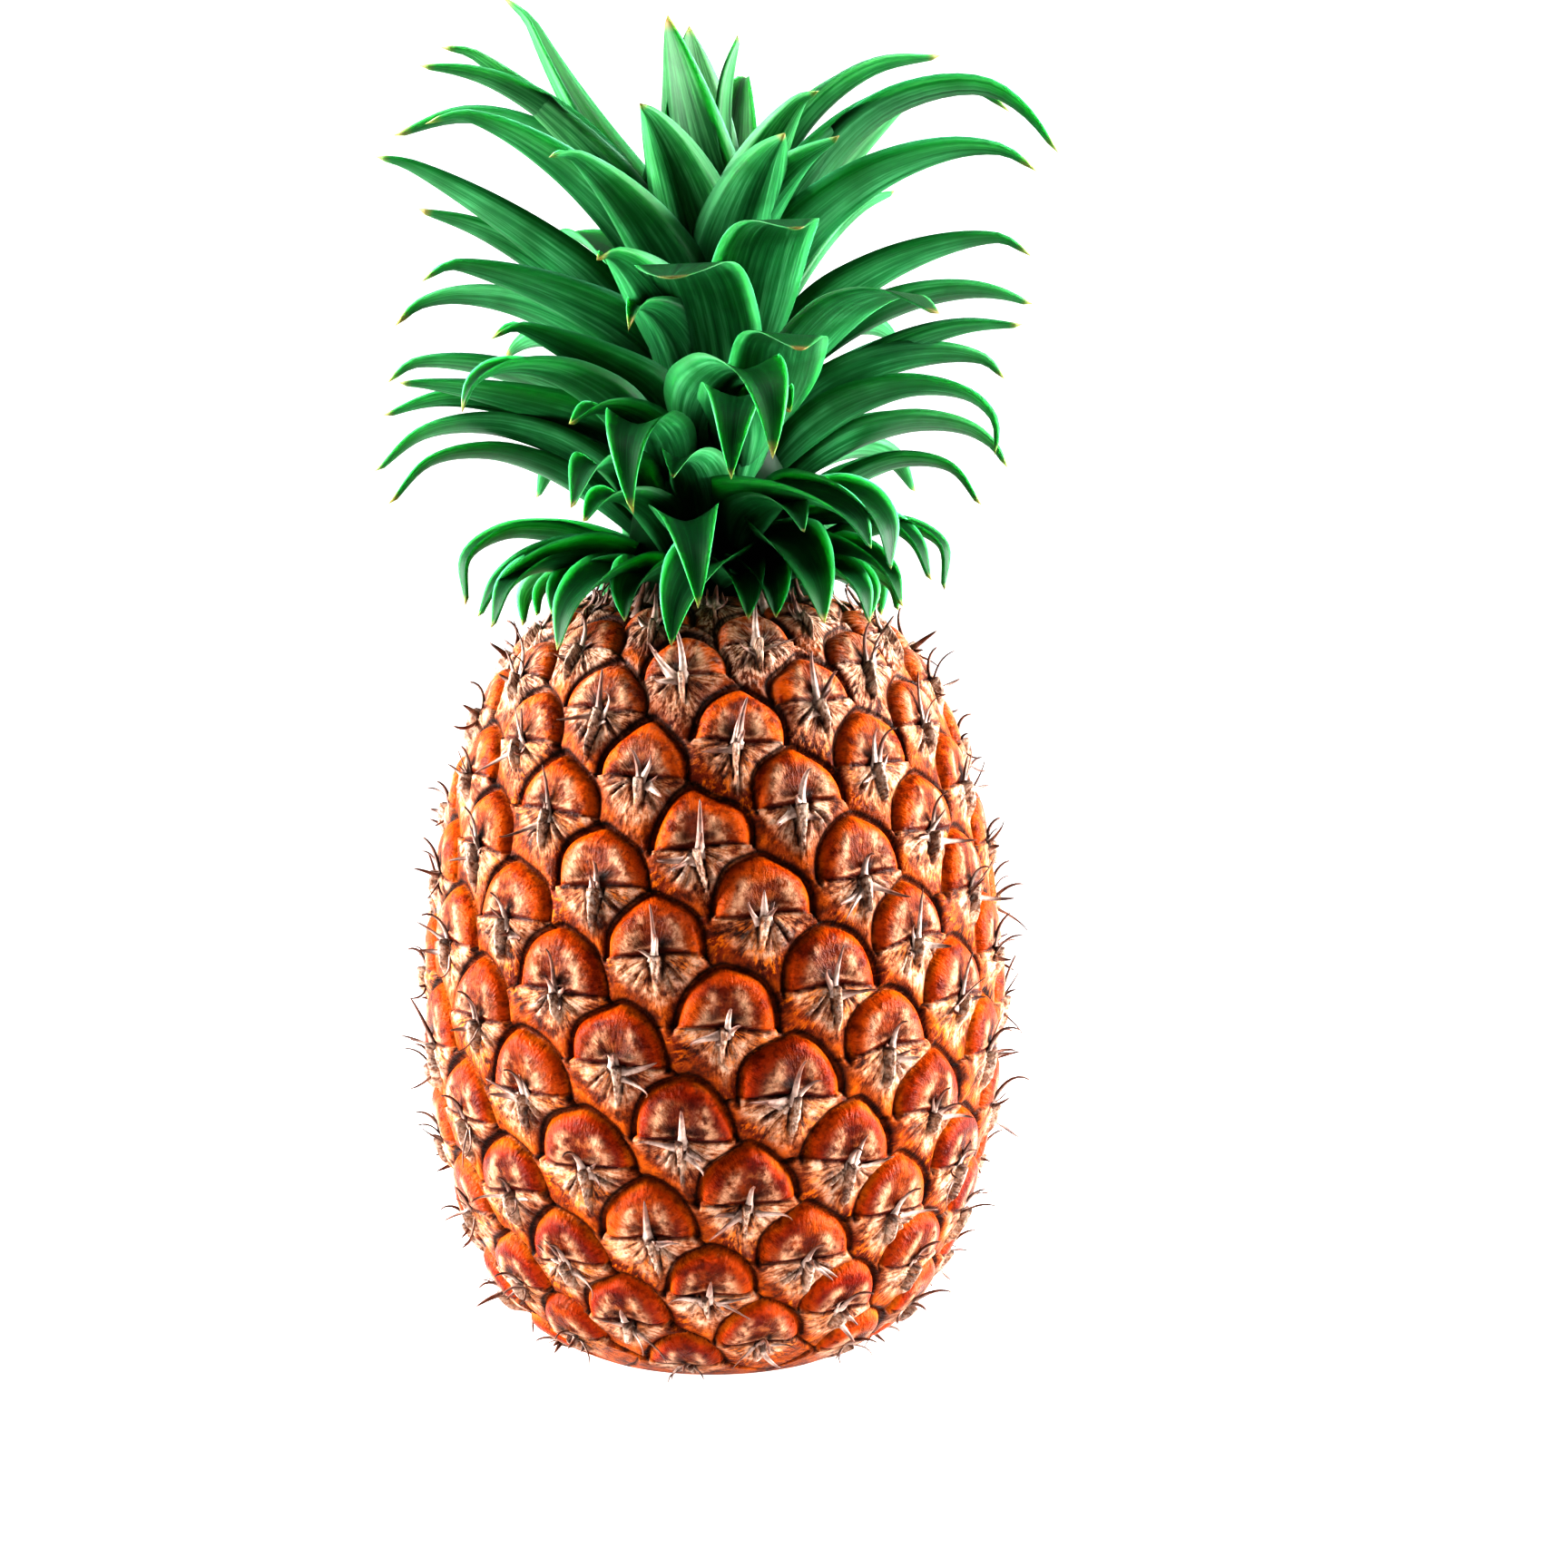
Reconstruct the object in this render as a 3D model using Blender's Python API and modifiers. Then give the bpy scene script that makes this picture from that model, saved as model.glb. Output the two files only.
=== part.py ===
"""A pineapple on its base: the fruit with its spiral of eyes, the leafy crown and the cut stalk end."""

import math
import random

import bmesh
import bpy
from mathutils import Matrix, Vector, kdtree

# The fruit body is a barrel whose outline is a superellipse, cut level at the base and at the neck.
BODY_RADIUS = 0.0578
BODY_HEIGHT = 0.152
BODY_MIDDLE = 0.0697
BODY_HALF_BELOW = 0.0733
BODY_HALF_ABOVE = 0.0835
OUTLINE_POWER_HEIGHT = 1.76
OUTLINE_POWER_RADIUS = 3.6
OUTLINE_STEPS = 600

# Eyes follow one spiral at the golden angle, which gives the 8, 13 and 21 rows of a real fruit.
# One eye in the middle of the front is the first, and the spiral runs up and down from it.
GOLDEN_ANGLE = math.radians(137.508)
FIRST_EYE_ANGLE = math.radians(-88.2)
FIRST_EYE_ARC = 0.0828
RISE_PER_EYE = 0.00097
GROWTH_TILT = math.radians(1.7)
LOWEST_EYE_ARC = 0.0040
HIGHEST_EYE_ARC_BELOW_NECK = 0.0035
EYE_PLACE_JITTER = 0.03
EYE_RANDOM_SEED = 5

# Shape of one eye, as shares of its size: an arched dome over a level slit, with a bract below it
# and a spine where they meet. Angles in degrees run round the arch from right to left.
DOME_HALF_WIDTH = 0.50
DOME_HEIGHT = 0.58
DOME_ROUNDNESS = 2.3
DOME_RIM_SHARE = 0.74
GROOVE_ANGLES = (4, 29, 53, 78, 102, 127, 151, 176)
RIM_ANGLES = (20, 55, 90, 125, 160)
SPINE_HALF_WIDTH = 0.085
SPINE_FOOT_BELOW = 0.17
SPINE_HEAD_ABOVE = 0.06
BRACT_POINTS = ((-0.50, -0.10), (0.50, -0.10), (0.0, -0.36), (-0.24, -0.24), (0.24, -0.24))
SLIT_OVERLAP = 0.04
NEIGHBOUR_MARGIN = 1.22
CLOSEST_POINTS = 0.0015
CLOSEST_TO_RIM = 0.001

# Relief of one eye, in metres from the barrel.
GROOVE_DEPTH = 0.0024
DOME_RELIEF = 0.0018
BRACT_RELIEF = 0.0011
SPINE_FOOT_RELIEF = 0.0021
SPINE_OUT = 0.0040
SPINE_UP = 0.0050
RELIEF_FADE = 0.016
SPINE_FADE_BELOW_NECK = 0.040

# The base is level round the stalk, and the neck is level under the crown.
INNER_RING_RADIUS = 0.0185
INNER_RING_SHARE = 0.6
RING_POINTS = 28
STALK_RADIUS = 0.0115
STALK_LENGTH = 0.0070
STALK_BEVEL = 0.0008
STALK_CLEARANCE = 0.0004
STALK_SIDES = 24
PIECE_GAP = 0.0003

# Crown: leaves on a short tapered stem, one every golden angle, from the outermost (place 0)
# to the heart (place 1).
LEAF_COUNT = 78
FIRST_LEAF_ANGLE = math.radians(40.0)
STEM_BOTTOM_RADIUS = 0.0190
STEM_TOP_RADIUS = 0.0075
STEM_HEIGHT = 0.070
STEM_SIDES = 16
LOWEST_LEAF = 0.0018
HIGHEST_LEAF = 0.064
ROOT_CROWDING = 1.1
ROOT_SHARE_OF_STEM = 0.85
NECK_CLEARANCE = 0.0019
EYE_CLEARANCE = 0.0046
BEND_STEP = 0.03
STEEPEST_BEND = 1.4

# One blade: a channel that is deepest at the root, on a rib that thins towards the tip.
LEAF_SEGMENTS = 5
BEND_LATE = 1.6
DROOP_LATER = 1.6
DROOP_SLOPE = math.radians(75.0)
LEAF_RIB_THICKNESS = 0.0014
RIB_THINNING = 0.35
ROOT_CHANNEL = 0.80
CHANNEL_FLATTENING = 0.24
ROOT_WIDTH_SHARE = 0.37
WIDEST_PLACE = 0.40
TIP_SHARPNESS = 2.3
LEAF_SWAY = 0.10
LEAF_ROLL = 0.12
LEAF_RANDOM_SEED = 11
SKIRT_COUNT = 12
SKIRT_TURN = 0.15

# Place, start and end slope in degrees, length and width. A leaf between two stages is a blend of them.
LEAF_STAGES = (
    (0.00, 15.0, -75.0, 0.034, 0.0140),
    (0.10, 26.0, -55.0, 0.044, 0.0150),
    (0.20, 34.0, -40.0, 0.052, 0.0165),
    (0.40, 42.0, -15.0, 0.060, 0.0190),
    (0.60, 50.0, 8.0, 0.064, 0.0200),
    (0.75, 56.0, 22.0, 0.066, 0.0200),
    (0.86, 64.0, 38.0, 0.064, 0.0195),
    (0.94, 78.0, 60.0, 0.060, 0.0180),
    (1.00, 88.0, 86.0, 0.050, 0.0165),
)

# Where the leaves seen from the front end, lowest first: the direction in degrees, with -90 to the front,
# the distance from the axis, the height above the ground and the slope of the tip in degrees.
LEAF_TIPS = (
    (-125, 0.051, 0.142, -65),
    (-99, 0.050, 0.143, -75),
    (-143, 0.053, 0.146, -60),
    (-50, 0.046, 0.147, -65),
    (-64, 0.047, 0.147, -60),
    (-151, 0.052, 0.148, -55),
    (-38, 0.046, 0.150, -60),
    (-163, 0.051, 0.150, -85),
    (-93, 0.055, 0.150, -80),
    (-19, 0.048, 0.153, -85),
    (-31, 0.049, 0.155, -60),
    (-47, 0.049, 0.157, -75),
    (-54, 0.050, 0.161, -50),
    (-115, 0.061, 0.168, -40),
    (-105, 0.060, 0.168, -75),
    (-5, 0.054, 0.170, -50),
    (-173, 0.065, 0.170, -45),
    (-87, 0.060, 0.173, -75),
    (176, 0.069, 0.177, -35),
    (-80, 0.062, 0.177, -75),
    (11, 0.063, 0.180, -30),
    (-10, 0.060, 0.183, -45),
    (-176, 0.066, 0.188, -12),
    (-144, 0.060, 0.190, -25),
    (-167, 0.063, 0.194, 10),
    (-75, 0.061, 0.196, -20),
    (5, 0.060, 0.199, -5),
    (170, 0.068, 0.199, 0),
    (-46, 0.060, 0.204, -25),
    (-5, 0.062, 0.206, 5),
    (-148, 0.048, 0.205, 25),
    (176, 0.065, 0.209, -10),
    (-98, 0.055, 0.209, -20),
    (7, 0.066, 0.212, -5),
    (-162, 0.058, 0.217, 15),
    (-74, 0.056, 0.218, -15),
    (-8, 0.063, 0.223, 8),
    (180, 0.059, 0.229, 22),
    (-14, 0.065, 0.238, 0),
    (-3, 0.070, 0.241, -35),
    (-56, 0.042, 0.238, 25),
    (-171, 0.066, 0.239, 30),
    (-160, 0.057, 0.246, 20),
    (-121, 0.019, 0.242, 80),
    (171, 0.066, 0.245, -10),
    (-172, 0.058, 0.256, 15),
    (5, 0.060, 0.254, 5),
    (9, 0.047, 0.261, 15),
    (18, 0.050, 0.261, 45),
    (-10, 0.005, 0.263, 80),
    (-175, 0.052, 0.262, 40),
    (-152, 0.010, 0.266, 85),
    (132, 0.007, 0.266, 88),
    (165, 0.047, 0.271, 70),
)
HEART_AWAY = 0.020
TOP_OF_TIPS = 0.92
TURN_MISMATCH = math.radians(25.0)
PLACE_MISMATCH = 0.08

# The leaves between those ones, from the left over the front to the right, stay inside the outline.
BACK_LEAF_FROM = 0.35
INNER_LEAF_SHARE = 0.78


def clear_scene():
    for obj in list(bpy.data.objects):
        bpy.data.objects.remove(obj)


def make_material(name, colour, roughness):
    material = bpy.data.materials.new(name)
    material.use_nodes = True
    shader = material.node_tree.nodes["Principled BSDF"]
    shader.inputs["Base Color"].default_value = (*colour, 1.0)
    shader.inputs["Roughness"].default_value = roughness
    shader.inputs["Metallic"].default_value = 0.0
    return material


def new_collection(name):
    collection = bpy.data.collections.new(name)
    bpy.context.scene.collection.children.link(collection)
    return collection


def object_from(bm, name, collection, material=None):
    mesh = bpy.data.meshes.new(name)
    bm.to_mesh(mesh)
    bm.free()
    obj = bpy.data.objects.new(name, mesh)
    collection.objects.link(obj)
    if material:
        mesh.materials.append(material)
    return obj


def apply_modifiers(obj):
    graph = bpy.context.evaluated_depsgraph_get()
    mesh = bpy.data.meshes.new_from_object(obj.evaluated_get(graph))
    obj.modifiers.clear()
    obj.data = mesh


# Barrel

def barrel_radius(height):
    half = BODY_HALF_ABOVE if height > BODY_MIDDLE else BODY_HALF_BELOW
    away = min(1.0, abs(height - BODY_MIDDLE) / half)
    return BODY_RADIUS * (1.0 - away**OUTLINE_POWER_HEIGHT) ** (1.0 / OUTLINE_POWER_RADIUS)


class Barrel:
    """The barrel's outline by arc length from the base edge, and the ball that it unrolls onto."""

    def __init__(self):
        ease = [0.5 - 0.5 * math.cos(math.pi * i / OUTLINE_STEPS) for i in range(OUTLINE_STEPS + 1)]
        self.heights = [BODY_HEIGHT * e for e in ease]
        self.radii = [barrel_radius(h) for h in self.heights]
        self.arcs = [0.0]
        self.stretch = [0.0]
        for i in range(OUTLINE_STEPS):
            step = math.hypot(self.heights[i + 1] - self.heights[i], self.radii[i + 1] - self.radii[i])
            self.arcs.append(self.arcs[-1] + step)
            self.stretch.append(self.stretch[-1] + 2 * step / (self.radii[i] + self.radii[i + 1]))
        self.length = self.arcs[-1]

    def at(self, arc):
        """(radius, height, stretch, outward slope) of the outline at an arc length."""
        arc = min(max(arc, 0.0), self.length)
        low, high = 0, OUTLINE_STEPS
        while high - low > 1:
            middle = (low + high) // 2
            if self.arcs[middle] <= arc:
                low = middle
            else:
                high = middle
        share = (arc - self.arcs[low]) / (self.arcs[high] - self.arcs[low])
        radius = self.radii[low] + share * (self.radii[high] - self.radii[low])
        height = self.heights[low] + share * (self.heights[high] - self.heights[low])
        stretch = self.stretch[low] + share * (self.stretch[high] - self.stretch[low])
        slope = math.atan2(self.radii[low] - self.radii[high], self.heights[high] - self.heights[low])
        return radius, height, stretch, slope

    def point(self, angle, arc, out=0.0, up=0.0):
        """The point at (angle, arc), moved out along the normal and up along the outline."""
        radius, height, _, slope = self.at(arc)
        away = radius + out * math.cos(slope) - up * math.sin(slope)
        level = height + out * math.sin(slope) + up * math.cos(slope)
        return Vector((away * math.cos(angle), away * math.sin(angle), level))

    def ball_point(self, angle, stretch):
        """Where (angle, stretch) lies on a unit ball. The map keeps angles, and so the hull's triangles."""
        latitude = 2 * math.atan(math.exp(stretch - self.stretch[-1] / 2)) - math.pi / 2
        level = math.cos(latitude)
        return Vector((level * math.cos(angle), level * math.sin(angle), math.sin(latitude)))


# Eyes

def eye_sites(barrel):
    """Each eye's (angle, arc, size), lowest first."""
    rng = random.Random(EYE_RANDOM_SEED)
    reach = BODY_RADIUS * math.tan(GROWTH_TILT)
    lowest = -int((FIRST_EYE_ARC + reach) / RISE_PER_EYE)
    highest = int((barrel.length + reach - FIRST_EYE_ARC) / RISE_PER_EYE)
    sites = []
    for count in range(lowest, highest + 1):
        angle = FIRST_EYE_ANGLE + count * GOLDEN_ANGLE
        climb = FIRST_EYE_ARC + count * RISE_PER_EYE
        radius = barrel.at(climb)[0]
        size = math.sqrt(2 * math.pi * radius * RISE_PER_EYE)
        arc = climb - math.tan(GROWTH_TILT) * radius * math.cos(angle)
        angle += rng.uniform(-1, 1) * EYE_PLACE_JITTER * size / radius
        arc += rng.uniform(-1, 1) * EYE_PLACE_JITTER * size
        if LOWEST_EYE_ARC < arc < barrel.length - HIGHEST_EYE_ARC_BELOW_NECK:
            sites.append((angle, arc, size))
    return sites


def dome_edge(degrees, share):
    """A point of the arched dome's edge, as shares of the eye's size, moved towards the middle by share."""
    power = 2.0 / DOME_ROUNDNESS
    along = math.cos(math.radians(degrees))
    above = math.sin(math.radians(degrees))
    across = math.copysign(abs(along) ** power, along)
    return DOME_HALF_WIDTH * share * across, DOME_HEIGHT * share * above**power


def in_dome(across, above):
    """Under 1 inside an eye's arched dome, above its slit."""
    if above < -SLIT_OVERLAP:
        return math.inf
    sideways = abs(across / DOME_HALF_WIDTH) ** DOME_ROUNDNESS
    return sideways + (max(above, 0.0) / DOME_HEIGHT) ** DOME_ROUNDNESS


def on_barrel(barrel, point):
    return CLOSEST_TO_RIM < point[1] < barrel.length - CLOSEST_TO_RIM


def clear_of_domes(barrel, sites, own, point):
    """Whether a point of one eye stays out of the other eyes' domes."""
    angle, arc = point[:2]
    radius = barrel.at(arc)[0]
    for number, (other_angle, other_arc, size) in enumerate(sites):
        if number == own:
            continue
        turn = math.remainder(angle - other_angle, 2 * math.pi)
        if in_dome(turn * radius / size, (arc - other_arc) / size) < NEIGHBOUR_MARGIN:
            return False
    return True


def eye_points(barrel, sites, number):
    """(angle, arc, out, up) for the points of one eye. The first ones, round its dome, are always kept."""
    angle, arc, size = sites[number]
    below_neck = barrel.length - arc
    fade = min(1.0, arc / RELIEF_FADE, below_neck / RELIEF_FADE)
    spine = min(1.0, arc / RELIEF_FADE, below_neck / SPINE_FADE_BELOW_NECK)

    def placed(across, above, out, up=0.0):
        own_arc = arc + above * size
        return angle + across * size / barrel.at(own_arc)[0], own_arc, out, up

    dome, rest = [], []
    for degrees in GROOVE_ANGLES:
        dome.append(placed(*dome_edge(degrees, 1.0), -GROOVE_DEPTH * fade))
    for degrees in RIM_ANGLES:
        dome.append(placed(*dome_edge(degrees, DOME_RIM_SHARE), DOME_RELIEF * fade))
    dome.append(placed(0.0, 0.0, SPINE_FOOT_RELIEF * fade + SPINE_OUT * spine, SPINE_UP * spine))
    for across, above in ((-SPINE_HALF_WIDTH, 0.0), (SPINE_HALF_WIDTH, 0.0), (0.0, -SPINE_FOOT_BELOW)):
        dome.append(placed(across, above, SPINE_FOOT_RELIEF * fade))
    dome.append(placed(0.0, SPINE_HEAD_ABOVE, SPINE_FOOT_RELIEF * fade))
    for across, above in BRACT_POINTS:
        rest.append(placed(across, above, BRACT_RELIEF * fade))
    return dome, rest


def skin_points(barrel):
    """Every point of the fruit's skin as (angle, arc, out, up), without points that would crowd a dome."""
    sites = eye_sites(barrel)
    kept, waiting = [], []
    for number in range(len(sites)):
        dome, rest = eye_points(barrel, sites, number)
        kept += [point for point in dome if on_barrel(barrel, point)]
        waiting += [point for point in rest if clear_of_domes(barrel, sites, number, point)]
    tree = kdtree.KDTree(len(kept))
    for index, (angle, arc, _, _) in enumerate(kept):
        tree.insert(barrel.point(angle, arc), index)
    tree.balance()
    for point in waiting:
        if on_barrel(barrel, point) and tree.find(barrel.point(point[0], point[1]))[2] > CLOSEST_POINTS:
            kept.append(point)
    return kept


def build_fruit(collection, cutters):
    barrel = Barrel()
    bm = bmesh.new()
    targets = {}

    def add(on_ball, target):
        vert = bm.verts.new(on_ball)
        targets[vert] = target

    for angle, arc, out, up in skin_points(barrel):
        target = barrel.point(angle, arc, out, up)
        target.z = max(target.z, 0.0)
        add(barrel.ball_point(angle, barrel.at(arc)[2]), target)
    ends = ((0.0, 0.0, -1.0), (BODY_HEIGHT, barrel.stretch[-1], 1.0))
    for level, stretch, side in ends:
        edge = barrel_radius(level)
        inner = min(INNER_RING_RADIUS, INNER_RING_SHARE * edge)
        for radius in (edge, inner):
            ring_stretch = stretch + side * math.log(edge / radius)
            for i in range(RING_POINTS):
                angle = 2 * math.pi * i / RING_POINTS
                place = Vector((radius * math.cos(angle), radius * math.sin(angle), level))
                add(barrel.ball_point(angle, ring_stretch), place)
        add(Vector((0, 0, side)), Vector((0, 0, level)))
    bmesh.ops.convex_hull(bm, input=bm.verts)
    for vert, target in targets.items():
        vert.co = target
    bmesh.ops.recalc_face_normals(bm, faces=bm.faces)
    material = make_material("rind", (0.60, 0.19, 0.05), 0.45)
    fruit = object_from(bm, "fruit", collection, material)
    cut_stalk_socket(fruit, cutters)
    return fruit


def cylinder(name, radius, length, collection, material=None):
    """An upright cylinder with its middle at its own origin."""
    bm = bmesh.new()
    bmesh.ops.create_cone(
        bm, cap_ends=True, segments=STALK_SIDES, radius1=radius, radius2=radius, depth=length)
    return object_from(bm, name, collection, material)


def cut_stalk_socket(fruit, cutters):
    depth = STALK_LENGTH + STALK_CLEARANCE
    cutter = cylinder("stalk_socket_cutter", STALK_RADIUS + STALK_CLEARANCE, 2 * depth, cutters)
    cutter.hide_render = True
    cutter.display_type = "WIRE"
    cut = fruit.modifiers.new("stalk_socket", "BOOLEAN")
    cut.operation = "DIFFERENCE"
    cut.object = cutter


def build_stalk(collection):
    """The end of the stalk that carried the fruit, cut level with the base."""
    material = make_material("stalk", (0.62, 0.50, 0.28), 0.8)
    stalk = cylinder("cut_stalk", STALK_RADIUS, STALK_LENGTH, collection, material)
    stalk.data.shade_smooth()
    stalk.data.set_sharp_from_angle(angle=math.radians(40))
    stalk.location.z = STALK_LENGTH / 2
    bevel = stalk.modifiers.new("softened_edges", "BEVEL")
    bevel.width = STALK_BEVEL
    bevel.segments = 1
    bevel.limit_method = "ANGLE"
    return stalk


# Crown

def stage_values(place):
    """Start slope, end slope, length and width for a leaf at a place from outermost (0) to heart (1)."""
    for lower, upper in zip(LEAF_STAGES, LEAF_STAGES[1:]):
        if place <= upper[0]:
            share = (place - lower[0]) / (upper[0] - lower[0])
            return [a + share * (b - a) for a, b in zip(lower[1:], upper[1:])]
    return list(LEAF_STAGES[-1][1:])


def leaf_width(share):
    """Width of a blade as a share of its widest, from its root (0) to its tip (1)."""
    swell = math.sin(math.pi / 2 * min(1.0, share / WIDEST_PLACE))
    return (1.0 - share**TIP_SHARPNESS) * (ROOT_WIDTH_SHARE + (1.0 - ROOT_WIDTH_SHARE) * swell)


def too_near_fruit(away, level):
    """Whether a leaf's rib this far from the axis and this high would touch the neck or the eyes."""
    below = BODY_HEIGHT - level
    if below < -NECK_CLEARANCE:
        return False
    relief = EYE_CLEARANCE * min(1.0, max(0.0, below) / RELIEF_FADE)
    return away < barrel_radius(min(level, BODY_HEIGHT)) + relief + NECK_CLEARANCE


def slope_at(start, end, share):
    """A leaf's slope along its length. The more its tip droops, the nearer to the tip it bends."""
    late = BEND_LATE + DROOP_LATER * min(1.0, max(0.0, -end) / DROOP_SLOPE)
    return start + (end - start) * share**late


def reach_of(start, end):
    """How far outwards and upwards a leaf of length 1 ends, by its start and end slope."""
    slopes = [slope_at(start, end, i / LEAF_SEGMENTS) for i in range(1, LEAF_SEGMENTS + 1)]
    out = sum(math.cos(slope) for slope in slopes) / LEAF_SEGMENTS
    up = sum(math.sin(slope) for slope in slopes) / LEAF_SEGMENTS
    return out, up


def aimed_slope(end, direction):
    """The start slope with which a leaf of a given end slope reaches its tip in the given direction."""
    low, high = direction, math.radians(150)
    for _ in range(40):
        middle = (low + high) / 2
        out, up = reach_of(middle, end)
        if math.atan2(up, out) < direction:
            low = middle
        else:
            high = middle
    return (low + high) / 2


def leaf_root(place):
    """Distance from the axis and height at which a leaf leaves the stem."""
    rise = LOWEST_LEAF + place**ROOT_CROWDING * (HIGHEST_LEAF - LOWEST_LEAF)
    stem = STEM_BOTTOM_RADIUS + rise / STEM_HEIGHT * (STEM_TOP_RADIUS - STEM_BOTTOM_RADIUS)
    return ROOT_SHARE_OF_STEM * stem, BODY_HEIGHT + rise


def leaf_bend(place, tip, rng):
    """Start slope, end slope and length of a leaf, from the tip it reaches or else from its place."""
    start, end, length, _ = stage_values(place)
    start += rng.uniform(-3, 3)
    end += rng.uniform(-7, 7)
    length *= rng.uniform(0.95, 1.05)
    if not tip:
        return math.radians(start), math.radians(end), length
    away, level = leaf_root(place)
    _, tip_away, tip_level, tip_slope = tip
    end = math.radians(tip_slope)
    start = aimed_slope(end, math.atan2(tip_level - level, tip_away - away))
    return start, end, math.hypot(tip_away - away, tip_level - level) / math.hypot(*reach_of(start, end))


def leaf_line(place, azimuth, tip, rng):
    """Points (distance from the axis, height, slope) along a leaf's rib, which bends clear of the fruit."""
    start, end, length = leaf_bend(place, tip, rng)
    if not tip and math.sin(azimuth) < BACK_LEAF_FROM:
        length *= INNER_LEAF_SHARE
    away, level = leaf_root(place)
    step = length / LEAF_SEGMENTS
    line = [(away, level, start)]
    for i in range(1, LEAF_SEGMENTS + 1):
        slope = slope_at(start, end, i / LEAF_SEGMENTS)
        out, up = step * math.cos(slope), step * math.sin(slope)
        while slope < STEEPEST_BEND and too_near_fruit(away + out, level + up):
            slope += BEND_STEP
            out, up = step * math.cos(slope), step * math.sin(slope)
        away += out
        level += up
        line.append((away, level, slope))
    return line


def leaf_mesh(place, azimuth, tip, rng):
    """A pointed, channelled blade: kite-shaped sections with sharp edges, split alike above and below."""
    width = stage_values(place)[3] * rng.uniform(0.94, 1.06)
    sway = rng.uniform(-LEAF_SWAY, LEAF_SWAY)
    roll = rng.uniform(-LEAF_ROLL, LEAF_ROLL)
    if tip:
        sway = math.remainder(math.radians(tip[0]) - azimuth, 2 * math.pi)
    bm = bmesh.new()
    sections = []
    for i, (away, level, slope) in enumerate(leaf_line(place, azimuth, tip, rng)):
        share = i / LEAF_SEGMENTS
        turn = azimuth + sway * (1 - (1 - share) ** 2)
        outward = Vector((math.cos(turn), math.sin(turn), 0))
        middle = outward * away + Vector((0, 0, level))
        along = outward * math.cos(slope) + Vector((0, 0, math.sin(slope)))
        across = Matrix.Rotation(roll * share, 3, along) @ Vector((-math.sin(turn), math.cos(turn), 0))
        upward = along.cross(across)
        if i == LEAF_SEGMENTS:
            sections.append([bm.verts.new(middle)])
            break
        half = width * leaf_width(share) / 2
        channel = half * (ROOT_CHANNEL - CHANNEL_FLATTENING * share)
        thick = LEAF_RIB_THICKNESS * (1.0 - RIB_THINNING * share)
        places = (middle - across * half + upward * channel, middle,
                  middle + across * half + upward * channel, middle - upward * thick)
        sections.append([bm.verts.new(p) for p in places])
    root = sections[0]
    bm.faces.new((root[0], root[1], root[3]))
    bm.faces.new((root[1], root[2], root[3]))
    for near, far in zip(sections, sections[1:-1]):
        for a, b in ((0, 1), (2, 1), (0, 3), (2, 3)):
            bm.faces.new((near[a], near[b], far[b]))
            bm.faces.new((near[a], far[b], far[a]))
    last, tip_vert = sections[-2], sections[-1][0]
    for a in range(4):
        bm.faces.new((last[a], last[(a + 1) % 4], tip_vert))
    bmesh.ops.recalc_face_normals(bm, faces=bm.faces)
    return bm


def leaf_sites():
    """Each leaf's (place, azimuth, tip). A tip goes to the free leaf that grows nearest below it."""
    sites = []
    for number in range(LEAF_COUNT):
        sites.append((number / (LEAF_COUNT - 1), FIRST_LEAF_ANGLE + number * GOLDEN_ANGLE))
    lowest, highest = LEAF_TIPS[0][2], LEAF_TIPS[-1][2]
    given = {}
    for tip in LEAF_TIPS:
        place = 1.0 if tip[1] < HEART_AWAY else TOP_OF_TIPS * (tip[2] - lowest) / (highest - lowest)

        def mismatch(number):
            turn = math.remainder(sites[number][1] - math.radians(tip[0]), 2 * math.pi)
            return abs(turn) / TURN_MISMATCH + abs(sites[number][0] - place) / PLACE_MISMATCH

        given[min((n for n in range(LEAF_COUNT) if n not in given), key=mismatch)] = tip
    return [(place, azimuth, given.get(number)) for number, (place, azimuth) in enumerate(sites)]


def skirt_sites(rng):
    """Short leaves in a ring at the foot of the crown, which cover the neck."""
    sites = []
    for number in range(SKIRT_COUNT):
        turn = rng.uniform(-SKIRT_TURN, SKIRT_TURN)
        sites.append((0.0, 2 * math.pi * number / SKIRT_COUNT + turn, None))
    return sites


def connected_faces(bm):
    """Lists of faces, one for each connected skin of a mesh."""
    waiting = set(bm.faces)
    skins = []
    while waiting:
        reached = [waiting.pop()]
        for face in reached:
            for edge in face.edges:
                for other in edge.link_faces:
                    if other in waiting:
                        waiting.remove(other)
                        reached.append(other)
        skins.append(reached)
    return skins


def keep_outer_skin(obj):
    """Fills the hollows that overlapping leaves sealed, by keeping only the largest skin."""
    bm = bmesh.new()
    bm.from_mesh(obj.data)
    skins = sorted(connected_faces(bm), key=len)
    for skin in skins[:-1]:
        bmesh.ops.delete(bm, geom=skin, context="FACES")
    bm.to_mesh(obj.data)
    bm.free()


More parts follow.
